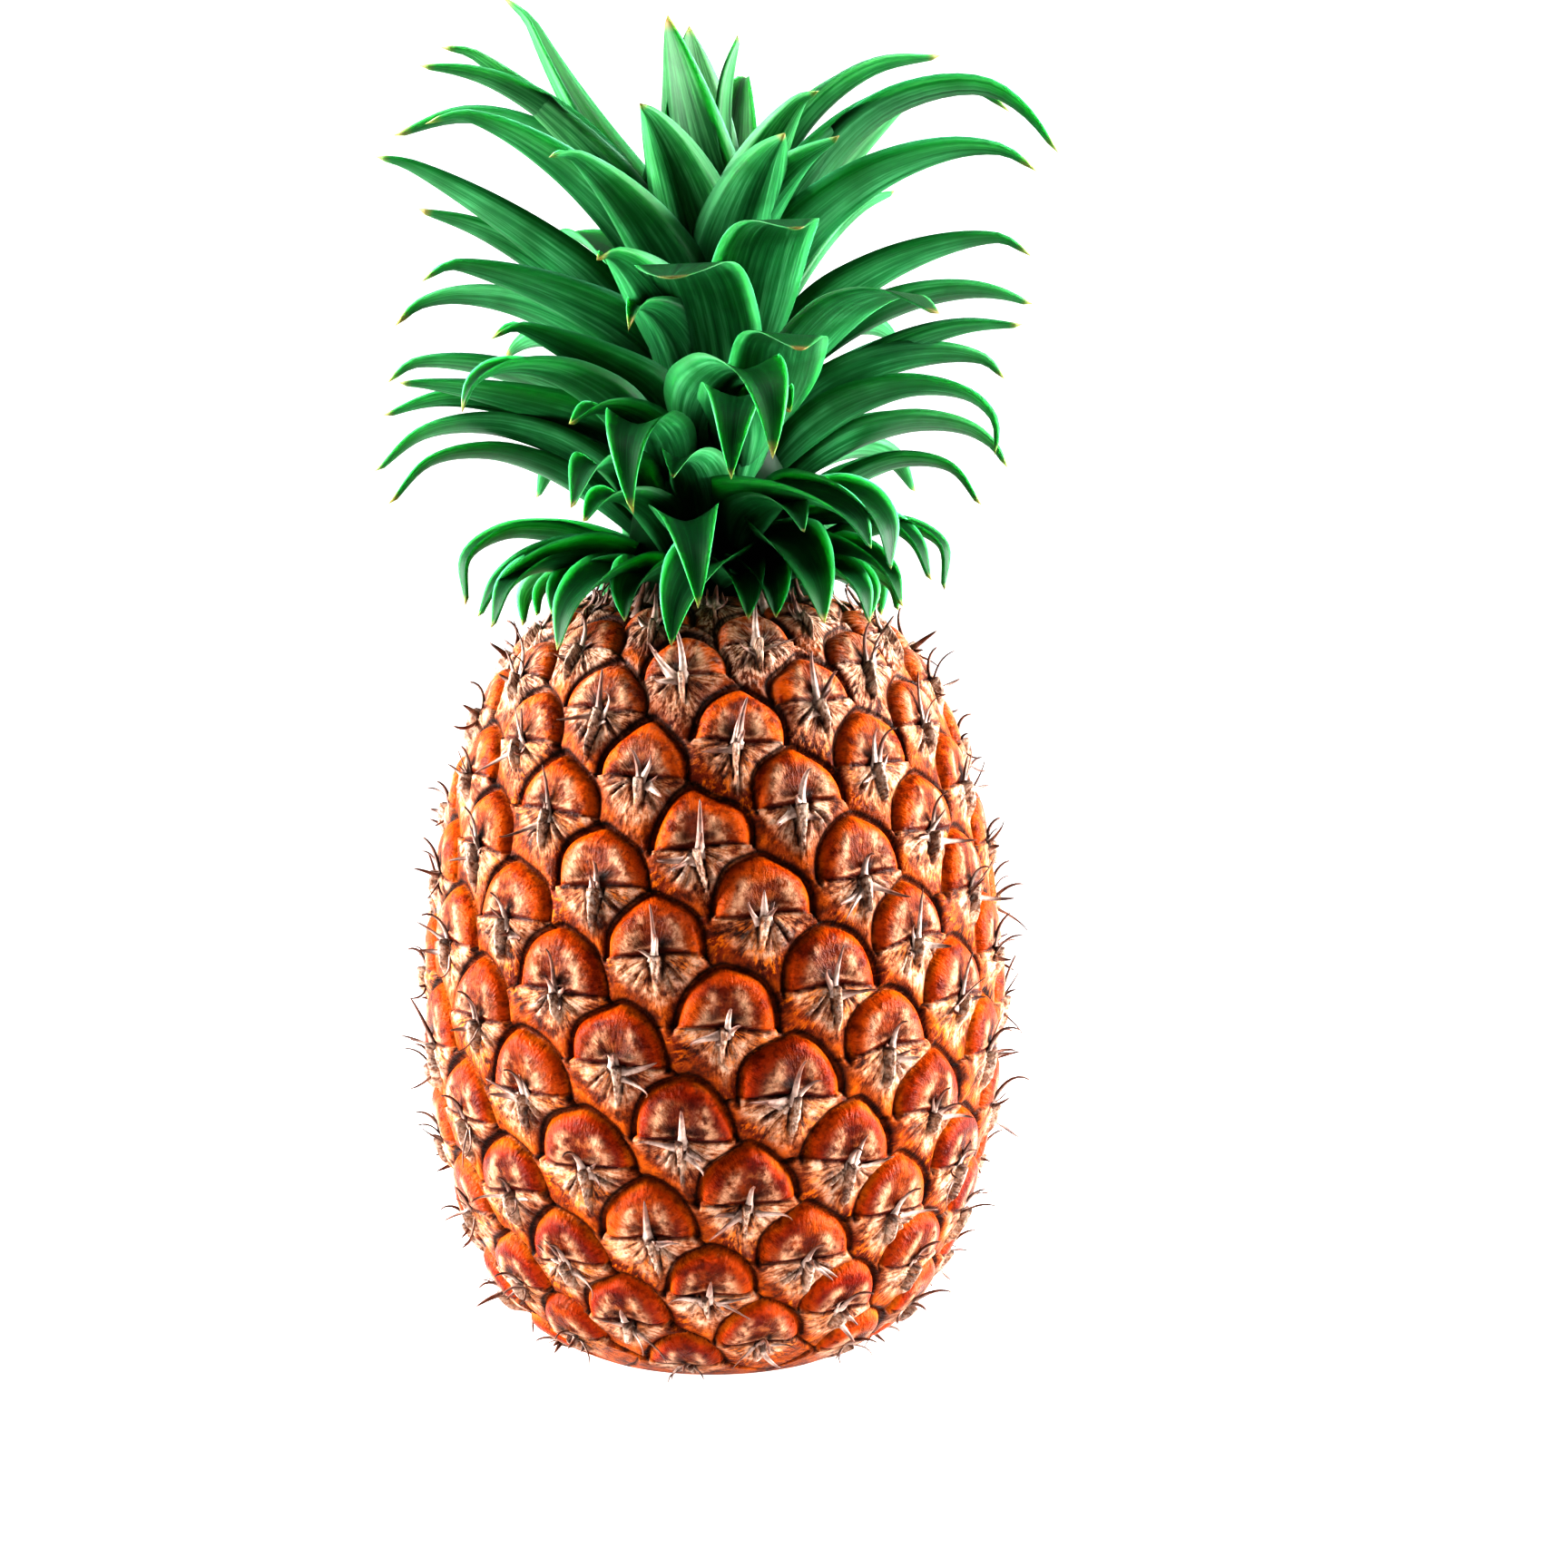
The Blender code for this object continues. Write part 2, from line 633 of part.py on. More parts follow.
def build_crown(collection):
    """The crown's stem with all its leaves, joined into one solid."""
    rng = random.Random(LEAF_RANDOM_SEED)
    material = make_material("leaf", (0.03, 0.20, 0.06), 0.45)
    middle = Matrix.Translation((0, 0, BODY_HEIGHT + PIECE_GAP + STEM_HEIGHT / 2))
    bm = bmesh.new()
    bmesh.ops.create_cone(bm, cap_ends=True, segments=STEM_SIDES, radius1=STEM_BOTTOM_RADIUS,
                          radius2=STEM_TOP_RADIUS, depth=STEM_HEIGHT, matrix=middle)
    crown = object_from(bm, "crown", collection, material)
    leaves = new_collection("crown_leaves")
    for number, (place, azimuth, tip) in enumerate(leaf_sites() + skirt_sites(rng)):
        object_from(leaf_mesh(place, azimuth, tip, rng), f"leaf_{number:02d}", leaves)
    join = crown.modifiers.new("leaves", "BOOLEAN")
    join.operation = "UNION"
    join.operand_type = "COLLECTION"
    join.collection = leaves
    join.solver = "MANIFOLD"
    apply_modifiers(crown)
    for leaf in list(leaves.objects):
        bpy.data.objects.remove(leaf)
    bpy.data.collections.remove(leaves)
    keep_outer_skin(crown)
    return crown


def main():
    clear_scene()
    pineapple = new_collection("pineapple")
    cutters = new_collection("cutters")
    build_fruit(pineapple, cutters)
    build_stalk(pineapple)
    build_crown(pineapple)


main()
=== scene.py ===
"""Looks of the pineapple: skin with its eyes, spines, crown leaves and cut stalk, floor, light and camera."""
import math
import random

import bmesh
import bpy
import numpy as np
from mathutils import Matrix, Vector


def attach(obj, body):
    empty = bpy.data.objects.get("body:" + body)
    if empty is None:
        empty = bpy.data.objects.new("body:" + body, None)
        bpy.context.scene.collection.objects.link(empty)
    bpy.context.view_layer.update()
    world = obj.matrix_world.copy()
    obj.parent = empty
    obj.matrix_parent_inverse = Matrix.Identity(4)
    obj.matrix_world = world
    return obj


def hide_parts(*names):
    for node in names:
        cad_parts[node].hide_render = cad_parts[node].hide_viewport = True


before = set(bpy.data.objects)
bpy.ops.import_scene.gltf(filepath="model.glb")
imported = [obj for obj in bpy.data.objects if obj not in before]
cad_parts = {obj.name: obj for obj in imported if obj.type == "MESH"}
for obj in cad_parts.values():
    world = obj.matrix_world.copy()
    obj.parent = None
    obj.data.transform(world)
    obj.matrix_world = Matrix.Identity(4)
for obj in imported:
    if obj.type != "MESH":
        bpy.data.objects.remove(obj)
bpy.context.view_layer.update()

# The fruit body is a barrel whose outline is a superellipse, cut level at the base and at the neck.
BODY_RADIUS = 0.0578
BODY_HEIGHT = 0.152
BODY_MIDDLE = 0.0697
BODY_HALF_BELOW = 0.0733
BODY_HALF_ABOVE = 0.0835
OUTLINE_POWER_HEIGHT = 1.76
OUTLINE_POWER_RADIUS = 3.6
OUTLINE_STEPS = 600

# Eyes follow one spiral at the golden angle, which gives the 8, 13 and 21 rows of a real fruit.
GOLDEN_ANGLE = math.radians(137.508)
FIRST_EYE_ANGLE = math.radians(-88.2)
FIRST_EYE_ARC = 0.0828
RISE_PER_EYE = 0.00097
GROWTH_TILT = math.radians(1.7)
LOWEST_EYE_ARC = 0.0040
HIGHEST_EYE_ARC_BELOW_NECK = 0.0035
EYE_PLACE_JITTER = 0.03
EYE_RANDOM_SEED = 5

# Skin grid: columns round the fruit and rows up its outline, then rows inwards under the base as far as the
# stalk's socket, with dry folds.
SKIN_COLUMNS = 900
SKIN_ROWS = 460
BASE_ROWS = 40
BASE_WRINKLE = 0.0011
BASE_WAVES = 14
BASE_WAVE_TURNS = 40
SOCKET_RADIUS = 0.0119

# One eye, as shares of its size. The dome is a rounded pentagon over a level slit.
DOME_HALF_WIDTH = 0.50
DOME_PEAK = 0.63
DOME_SHOULDER_SLOPE = 0.52
DOME_CORNER_POWER = 4.0
PEAK_ROUNDING = 0.07
BRACT_HALF_WIDTH = 0.62
BRACT_HALF_HEIGHT = 0.42
BRACT_MIDDLE = -0.22
EYE_WINDOW = 1.3
NO_EYE_NEAR = 40.0

# How far an eye may be turned, and the waves that bend its outline.
EYE_TURN = math.radians(5.0)
WAVES = 8
WAVE_TURNS = 26
WAVE_ACROSS = 0.030
WAVE_ABOVE = 0.022

# Relief, the widths of the painted shade along the grooves, and where the relief fades, in metres.
GROOVE_FLOOR = -0.0014
RIM_WALL = 0.0010
RIM_DEPTH = 0.005
DOME_TOP = 0.0016
DOME_DISH = 0.0007
SLIT_DEPTH = 0.0006
SLIT_WIDTH = 0.0004
BRACT_TOP = 0.0010
BRACT_FALL = 0.0009
BRACT_WALL = 0.0008
KEEL_RISE = 0.0011
FOLD_RISE = 0.0007
WING_RISE = 0.0002
GROOVE_MIDDLE = 0.0006
GROOVE_WIDTH = 0.00040
SHADE_OUTSIDE = 0.0013
SHADE_INSIDE = 0.0005
RELIEF_FADE = 0.016
DRY_FROM = 0.118

# The dome's dish, its slit, the pale wings beside the spine, the lip over the slit and a dark hole whose
# darkness is painted shade, in shares of the eye.
DISH_HALF_WIDTH = 0.30
DISH_HEIGHT = 0.26
SLIT_HALF_LENGTH = 0.47
WING_HALF_WIDTH = 0.335
WING_TAPER = 0.36
WING_TOP = 0.44
LIP_ABOVE = 0.085
LIP_FALL = 0.12
HOLE_BESIDE = 0.07
HOLE_ABOVE = 0.09

# Folds of a bract: direction from straight down in radians, its random sway and how strong the fold is.
BRACT_FOLDS = (
    (-1.20, 0.10, 0.35), (-0.74, 0.16, 1.0), (-0.34, 0.12, 0.6), (0.36, 0.12, 0.5), (0.78, 0.16, 0.9),
)
FOLD_WIDTH = 0.05
RIDGE_BESIDE = 0.13
RIDGE_WIDTH = 0.07

# The pale star on a bract, and the keel under its spine, in shares of the eye.
STAR_REACH = 0.66
STAR_POWER = 0.85
KEEL_WIDE = 0.042
KEEL_NARROW = 0.012

# Spines and dry shreds: lengths in metres, and in degrees how far the end of a spine may rise. A spine is
# wide at its foot, and curls and tapers towards its tip.
SPINE_RANDOM_SEED = 8
SPINE_SEGMENTS = 10
SPINE_LENGTH = 0.0125
SPINE_FOOT_WIDTH = 0.0029
SPINE_THICKNESS = 0.0011
SPINE_SINK = 0.0006
SPINE_BELOW_SLIT = 0.10
SPINE_LOWEST_FOOT = 0.003
SPINE_END_RISES = (30, 70, 95, 130)
SPINE_CURL_POWER = 2.5
SPINE_TAPER = 0.52
SPINE_TAPER_POWER = 0.7
SPINE_FOOT_SHARE = 0.3125
SPINE_FOOT_POWER = 1.5
SPINE_THINNING = 0.8
BLADE_TIP_HALF = 0.00010
BLADE_TIP_THICK = 0.00005
SHREDS_PER_EYE = 3
SHRED_TURN = 2.4
SHRED_LENGTH = 0.0074
SHRED_WIDTH = (0.0014, 0.0028)
SHRED_THICKNESS = 0.0004
NECK_SHREDS = 110
NECK_SHRED_BELOW = (0.0004, 0.0110)
NECK_SHRED_LENGTH = (0.0045, 0.0090)
NECK_SHRED_WIDTH = (0.0025, 0.0055)

# Crown leaves: the same rule as the frame's crown, drawn with more sections.
LEAF_COUNT = 78
FIRST_LEAF_ANGLE = math.radians(40.0)
STEM_BOTTOM_RADIUS = 0.0190
STEM_TOP_RADIUS = 0.0075
STEM_HEIGHT = 0.070
LOWEST_LEAF = 0.0018
HIGHEST_LEAF = 0.064
ROOT_CROWDING = 1.1
ROOT_SHARE_OF_STEM = 0.85
NECK_CLEARANCE = 0.0019
EYE_CLEARANCE = 0.0046
BEND_STEP = 0.03
STEEPEST_BEND = 1.4
LEAF_SEGMENTS = 5
BEND_LATE = 1.6
DROOP_LATER = 1.6
DROOP_SLOPE = math.radians(75.0)
STEEPEST_START = math.radians(150.0)
AIM_STEPS = 40
ROOT_CHANNEL = 0.80
CHANNEL_FLATTENING = 0.24
ROOT_WIDTH_SHARE = 0.37
WIDEST_PLACE = 0.40
TIP_SHARPNESS = 2.3
LEAF_SWAY = 0.10
LEAF_ROLL = 0.12
LEAF_RANDOM_SEED = 11
SKIRT_COUNT = 12
SKIRT_TURN = 0.15
FINE_PER_SEGMENT = 6
HALF_ACROSS = 4
CHANNEL_POWER = 1.5
TIP_THINNING = 0.35
LEAF_RIB_THICKNESS = 0.0011
LEAF_EDGE_THICKNESS = 0.0003
LEAF_TONE_TURN = 7.3
LEAF_TONE_RISE = 31.0

# Place, start and end slope in degrees, length and width. A leaf between two stages is a blend of them.
LEAF_STAGES = (
    (0.00, 15.0, -75.0, 0.034, 0.0140),
    (0.10, 26.0, -55.0, 0.044, 0.0150),
    (0.20, 34.0, -40.0, 0.052, 0.0165),
    (0.40, 42.0, -15.0, 0.060, 0.0190),
    (0.60, 50.0, 8.0, 0.064, 0.0200),
    (0.75, 56.0, 22.0, 0.066, 0.0200),
    (0.86, 64.0, 38.0, 0.064, 0.0195),
    (0.94, 78.0, 60.0, 0.060, 0.0180),
    (1.00, 88.0, 86.0, 0.050, 0.0165),
)

# Where the leaves seen from the front end, lowest first: the direction in degrees, with -90 to the front,
# the distance from the axis, the height above the ground and the slope of the tip in degrees.
LEAF_TIPS = (
    (-125, 0.051, 0.142, -65), (-99, 0.050, 0.143, -75), (-143, 0.053, 0.146, -60), (-50, 0.046, 0.147, -65),
    (-64, 0.047, 0.147, -60), (-151, 0.052, 0.148, -55), (-38, 0.046, 0.150, -60), (-163, 0.051, 0.150, -85),
    (-93, 0.055, 0.150, -80), (-19, 0.048, 0.153, -85), (-31, 0.049, 0.155, -60), (-47, 0.049, 0.157, -75),
    (-54, 0.050, 0.161, -50), (-115, 0.061, 0.168, -40), (-105, 0.060, 0.168, -75), (-5, 0.054, 0.170, -50),
    (-173, 0.065, 0.170, -45), (-87, 0.060, 0.173, -75), (176, 0.069, 0.177, -35), (-80, 0.062, 0.177, -75),
    (11, 0.063, 0.180, -30), (-10, 0.060, 0.183, -45), (-176, 0.066, 0.188, -12), (-144, 0.060, 0.190, -25),
    (-167, 0.063, 0.194, 10), (-75, 0.061, 0.196, -20), (5, 0.060, 0.199, -5), (170, 0.068, 0.199, 0),
    (-46, 0.060, 0.204, -25), (-5, 0.062, 0.206, 5), (-148, 0.048, 0.205, 25), (176, 0.065, 0.209, -10),
    (-98, 0.055, 0.209, -20), (7, 0.066, 0.212, -5), (-162, 0.058, 0.217, 15), (-74, 0.056, 0.218, -15),
    (-8, 0.063, 0.223, 8), (180, 0.059, 0.229, 22), (-14, 0.065, 0.238, 0), (-3, 0.070, 0.241, -35),
    (-56, 0.042, 0.238, 25), (-171, 0.066, 0.239, 30), (-160, 0.057, 0.246, 20), (-121, 0.019, 0.242, 80),
    (171, 0.066, 0.245, -10), (-172, 0.058, 0.256, 15), (5, 0.060, 0.254, 5), (9, 0.047, 0.261, 15),
    (18, 0.050, 0.261, 45), (-10, 0.005, 0.263, 80), (-175, 0.052, 0.262, 40), (-152, 0.010, 0.266, 85),
    (132, 0.007, 0.266, 88), (165, 0.047, 0.271, 70),
)
TOP_OF_TIPS = 0.92
TURN_MISMATCH = math.radians(25.0)
PLACE_MISMATCH = 0.08
BACK_LEAF_FROM = 0.35
INNER_LEAF_SHARE = 0.78

# Leaves whose tips are folded over or worn off: direction and height of the tip, and how blunt it is.
BLUNT_TIPS = {(-98, 0.209): 10.0, (-74, 0.218): 6.0, (-75, 0.196): 5.0, (-46, 0.204): 5.0}
BLUNT_CHANNEL = 0.25

# Small leaves between the large ones at the front: place, direction, then the tip as in LEAF_TIPS.
FILLER_LEAVES = (
    (0.10, -122, -122, 0.046, 0.166, -35),
    (0.12, -70, -68, 0.045, 0.164, -40),
    (0.18, -96, -100, 0.044, 0.174, -30),
    (0.22, -118, -124, 0.048, 0.184, -20),
    (0.26, -78, -72, 0.046, 0.186, -25),
    (0.50, -108, -112, 0.042, 0.206, 0),
)

# Upright leaves of the heart, which end near the axis, and leaves that flatten as they droop.
HEART_AWAY = 0.020
HEART_SHARPNESS = 3.6
HEART_CHANNEL = 0.55
HEART_WIDENING = 1.35
DROOP_FLATTENING = 0.42

# The dry end of a long leaf curls under: the share of the leaf where it starts, the most that the tip
# moves in metres, and the lowest place of a leaf that does so.
CURL_FROM = 0.88
CURL_DEPTH = 0.0050
CURL_ABOVE = 0.30

# Camera, as fitted to the eye spiral and the outline in the photograph.
CAMERA_PLACE = (0.0, -0.512, 0.156)
CAMERA_DOWN = math.radians(4.727)
CAMERA_TURN = math.radians(-1.587)
CAMERA_LENS = 57.9
CAMERA_SENSOR = 36.0

# Lights, all aimed at one point: name, place, size in metres, power in watts and spread.
LIGHTS_AIM = (0.0, 0.0, 0.14)
LIGHTS = (
    ("left_softbox", (-0.75, 0.02, 0.30), (0.45, 0.9), 10.2, math.radians(70)),
    ("right_softbox", (0.75, 0.02, 0.30), (0.45, 0.9), 10.2, math.radians(70)),
    ("top_light", (0.0, 0.05, 1.0), (0.6, 0.6), 4.0, math.radians(180)),
)
WORLD_LIGHT = 0.12

# Floor: how far it runs to the front, to the back and to each side, its bend and its wall. It glows from
# a little in front of the fruit backwards, as the white ground of the photograph does.
FLOOR_FRONT = -2.5
FLOOR_DEPTH = 1.6
FLOOR_SIDE = 3.0
FLOOR_BEND = 0.6
FLOOR_BEND_STEPS = 12
FLOOR_WALL = 3.0
GLOW_SHIFT = 0.5
GLOW = ((0.25, 0.0), (0.38, 0.68))


def shader_colour(value):
    """A shader colour from three screen values of 0 to 255. Anything else is passed on as it is."""
    if not isinstance(value, tuple) or len(value) != 3:
        return value
    shares = (part / 255 for part in value)
    return (*(s / 12.92 if s <= 0.04045 else ((s + 0.055) / 1.055) ** 2.4 for s in shares), 1.0)


def smooth(value, low, high):
    """0 below low, 1 above high and a soft step between them."""
    share = np.clip((value - low) / (high - low), 0.0, 1.0)
    return share * share * (3.0 - 2.0 * share)


def bump_at(value, middle, width):
    return np.exp(-(((value - middle) / width) ** 2))


def wrapped(angle):
    return (angle + math.pi) % (2 * math.pi) - math.pi


# Barrel

def barrel_radius(height):
    half = np.where(np.asarray(height) > BODY_MIDDLE, BODY_HALF_ABOVE, BODY_HALF_BELOW)
    away = np.minimum(1.0, np.abs(np.asarray(height) - BODY_MIDDLE) / half)
    return BODY_RADIUS * (1.0 - away**OUTLINE_POWER_HEIGHT) ** (1.0 / OUTLINE_POWER_RADIUS)


class Barrel:
    """The barrel's outline by arc length from the base edge."""

    def __init__(self):
        ease = 0.5 - 0.5 * np.cos(np.pi * np.arange(OUTLINE_STEPS + 1) / OUTLINE_STEPS)
        self.heights = BODY_HEIGHT * ease
        self.radii = barrel_radius(self.heights)
        steps = np.hypot(np.diff(self.heights), np.diff(self.radii))
        self.arcs = np.concatenate(([0.0], np.cumsum(steps)))
        self.length = float(self.arcs[-1])
        slopes = np.arctan2(-np.diff(self.radii), np.diff(self.heights))
        self.slopes = np.interp(self.arcs, (self.arcs[1:] + self.arcs[:-1]) / 2, slopes)

    def radius(self, arc):
        return np.interp(arc, self.arcs, self.radii)

    def height(self, arc):
        return np.interp(arc, self.arcs, self.heights)

    def slope(self, arc):
        return np.interp(arc, self.arcs, self.slopes)

    def point(self, angle, arc, out=0.0):
        """The point at (angle, arc), moved out along the normal."""
        away = float(self.radius(arc)) + out * math.cos(float(self.slope(arc)))
        level = float(self.height(arc)) + out * math.sin(float(self.slope(arc)))
        return Vector((away * math.cos(angle), away * math.sin(angle), level))

    def directions(self, angle, arc):
        """(sideways, up along the outline, outward) at (angle, arc)."""
        slope = float(self.slope(arc))
        away = Vector((math.cos(angle), math.sin(angle), 0))
        sideways = Vector((-math.sin(angle), math.cos(angle), 0))
        outward = away * math.cos(slope) + Vector((0, 0, math.sin(slope)))
        return sideways, outward.cross(sideways), outward


# Eyes

def eye_sites(barrel):
    """Each eye's (angle, arc, size), lowest first, as in the frame."""
    rng = random.Random(EYE_RANDOM_SEED)
    reach = BODY_RADIUS * math.tan(GROWTH_TILT)
    lowest = -int((FIRST_EYE_ARC + reach) / RISE_PER_EYE)
    highest = int((barrel.length + reach - FIRST_EYE_ARC) / RISE_PER_EYE)
    sites = []
    for count in range(lowest, highest + 1):
        angle = FIRST_EYE_ANGLE + count * GOLDEN_ANGLE
        climb = FIRST_EYE_ARC + count * RISE_PER_EYE
        radius = float(barrel.radius(climb))
        size = math.sqrt(2 * math.pi * radius * RISE_PER_EYE)
        arc = climb - math.tan(GROWTH_TILT) * radius * math.cos(angle)
        angle += rng.uniform(-1, 1) * EYE_PLACE_JITTER * size / radius
        arc += rng.uniform(-1, 1) * EYE_PLACE_JITTER * size
        if LOWEST_EYE_ARC < arc < barrel.length - HIGHEST_EYE_ARC_BELOW_NECK:
            sites.append((angle, arc, size))
    return sites


def ripples(angles, arcs, rng, waves, coarse):
    """Smooth noise over the skin, about -1 to 1, that closes round the fruit."""
    total = np.zeros((len(arcs), len(angles)))
    for _ in range(waves):
        turns = rng.randint(-coarse, coarse)
        climb = rng.uniform(-1, 1) * coarse / BODY_RADIUS
        phase = rng.uniform(0, 2 * math.pi)
        total += np.sin(turns * angles[None, :] + climb * arcs[:, None] + phase)
    return total / math.sqrt(waves)


def dome_distance(across, above, size):
    """Metres from an eye's dome edge, negative inside. The far side of the slit counts as outside."""
    power = DOME_CORNER_POWER
    over = np.maximum(above, 0.0)
    side = np.abs(across) / DOME_HALF_WIDTH
    sloping = np.hypot(across, PEAK_ROUNDING) - 0.7 * PEAK_ROUNDING
    shoulder = (sloping * DOME_SHOULDER_SLOPE + over) / DOME_PEAK
    arch = ((side**power + shoulder**power) ** (1.0 / power) - 1.0) * DOME_HALF_WIDTH * size
    corner = np.hypot(np.maximum(np.abs(across) - DOME_HALF_WIDTH, 0.0), above) * size
    below = np.where(np.abs(across) > DOME_HALF_WIDTH, corner, 1.0)
    return np.where(above >= 0.0, arch, below)


class Field:
    """For each point of the skin grid: the eye it belongs to, and where it lies in that eye."""

    def __init__(self, barrel, sites, angles, arcs):
        shape = (len(arcs), len(angles))
        rng = random.Random(EYE_RANDOM_SEED + 1)
        self.edge = np.full(shape, 1.0)
        self.dome_eye = np.zeros(shape, dtype=int)
        self.dome_across = np.zeros(shape)
        self.dome_above = np.zeros(shape)
        self.first = np.full(shape, NO_EYE_NEAR + 10)
        self.second = np.full(shape, NO_EYE_NEAR + 20)
        self.bract_eye = np.zeros(shape, dtype=int)
        self.bract_across = np.zeros(shape)
        self.bract_above = np.zeros(shape)
        bend_across = WAVE_ACROSS * ripples(angles, arcs, rng, WAVES, WAVE_TURNS)
        bend_above = WAVE_ABOVE * ripples(angles, arcs, rng, WAVES, WAVE_TURNS)
        radii = barrel.radius(arcs)
        for number, (angle, arc, size) in enumerate(sites):
            rows = np.flatnonzero(np.abs(arcs - arc) < EYE_WINDOW * size)
            nearest = radii[rows].min()
            columns = np.flatnonzero(np.abs(wrapped(angles - angle)) < EYE_WINDOW * size / nearest)
            window = np.ix_(rows, columns)
            across = wrapped(angles[columns] - angle)[None, :] * radii[rows][:, None] / size
            above = np.broadcast_to(((arcs[rows] - arc) / size)[:, None], across.shape)
            turn = rng.uniform(-1, 1) * EYE_TURN
            turned_across = across * math.cos(turn) + above * math.sin(turn) + bend_across[window]
            turned_above = above * math.cos(turn) - across * math.sin(turn) + bend_above[window]
            self.add(number, window, turned_across, turned_above, size)

    def add(self, number, window, across, above, size):
        edge = dome_distance(across, above, size)
        nearer = edge < self.edge[window]
        self.keep(nearer, window, edge=edge, dome_eye=number, dome_across=across, dome_above=above)
        reach = (across / BRACT_HALF_WIDTH) ** 2 + ((above - BRACT_MIDDLE) / BRACT_HALF_HEIGHT) ** 2
        reach = np.where(above < 0.0, reach, NO_EYE_NEAR)
        closer = reach < self.first[window]
        runner_up = np.where(closer, self.first[window], np.minimum(self.second[window], reach))
        self.second[window] = runner_up
        self.keep(closer, window, first=reach, bract_eye=number, bract_across=across, bract_above=above)

    def keep(self, where, window, **values):
        for name, value in values.items():
            array = getattr(self, name)
            array[window] = np.where(where, value, array[window])


def bract_folds(spread, far, draws):
    """Dark gaps and the pale ridges beside them, which run from the spine's foot down the bract."""
    gaps = np.zeros_like(spread)
    ridges = np.zeros_like(spread)
    reach = smooth(far, 0.04, 0.12) * smooth(0.46 - far, 0.0, 0.16)
    for fold, (turn, sway, strength) in enumerate(BRACT_FOLDS):
        middle = turn + sway * draws[:, :, fold]
        share = strength * (0.55 + 0.45 * draws[:, :, (fold + 3) % draws.shape[2]])
        # The gaps are sunk folds that the material paints near black: painted shade.
        gaps += share * bump_at(spread, middle, FOLD_WIDTH)
        for side in (-1, 1):
            ridges += share * bump_at(spread, middle + side * RIDGE_BESIDE, RIDGE_WIDTH)
    return np.clip(gaps, 0, 1) * reach, np.clip(ridges, 0, 1) * reach


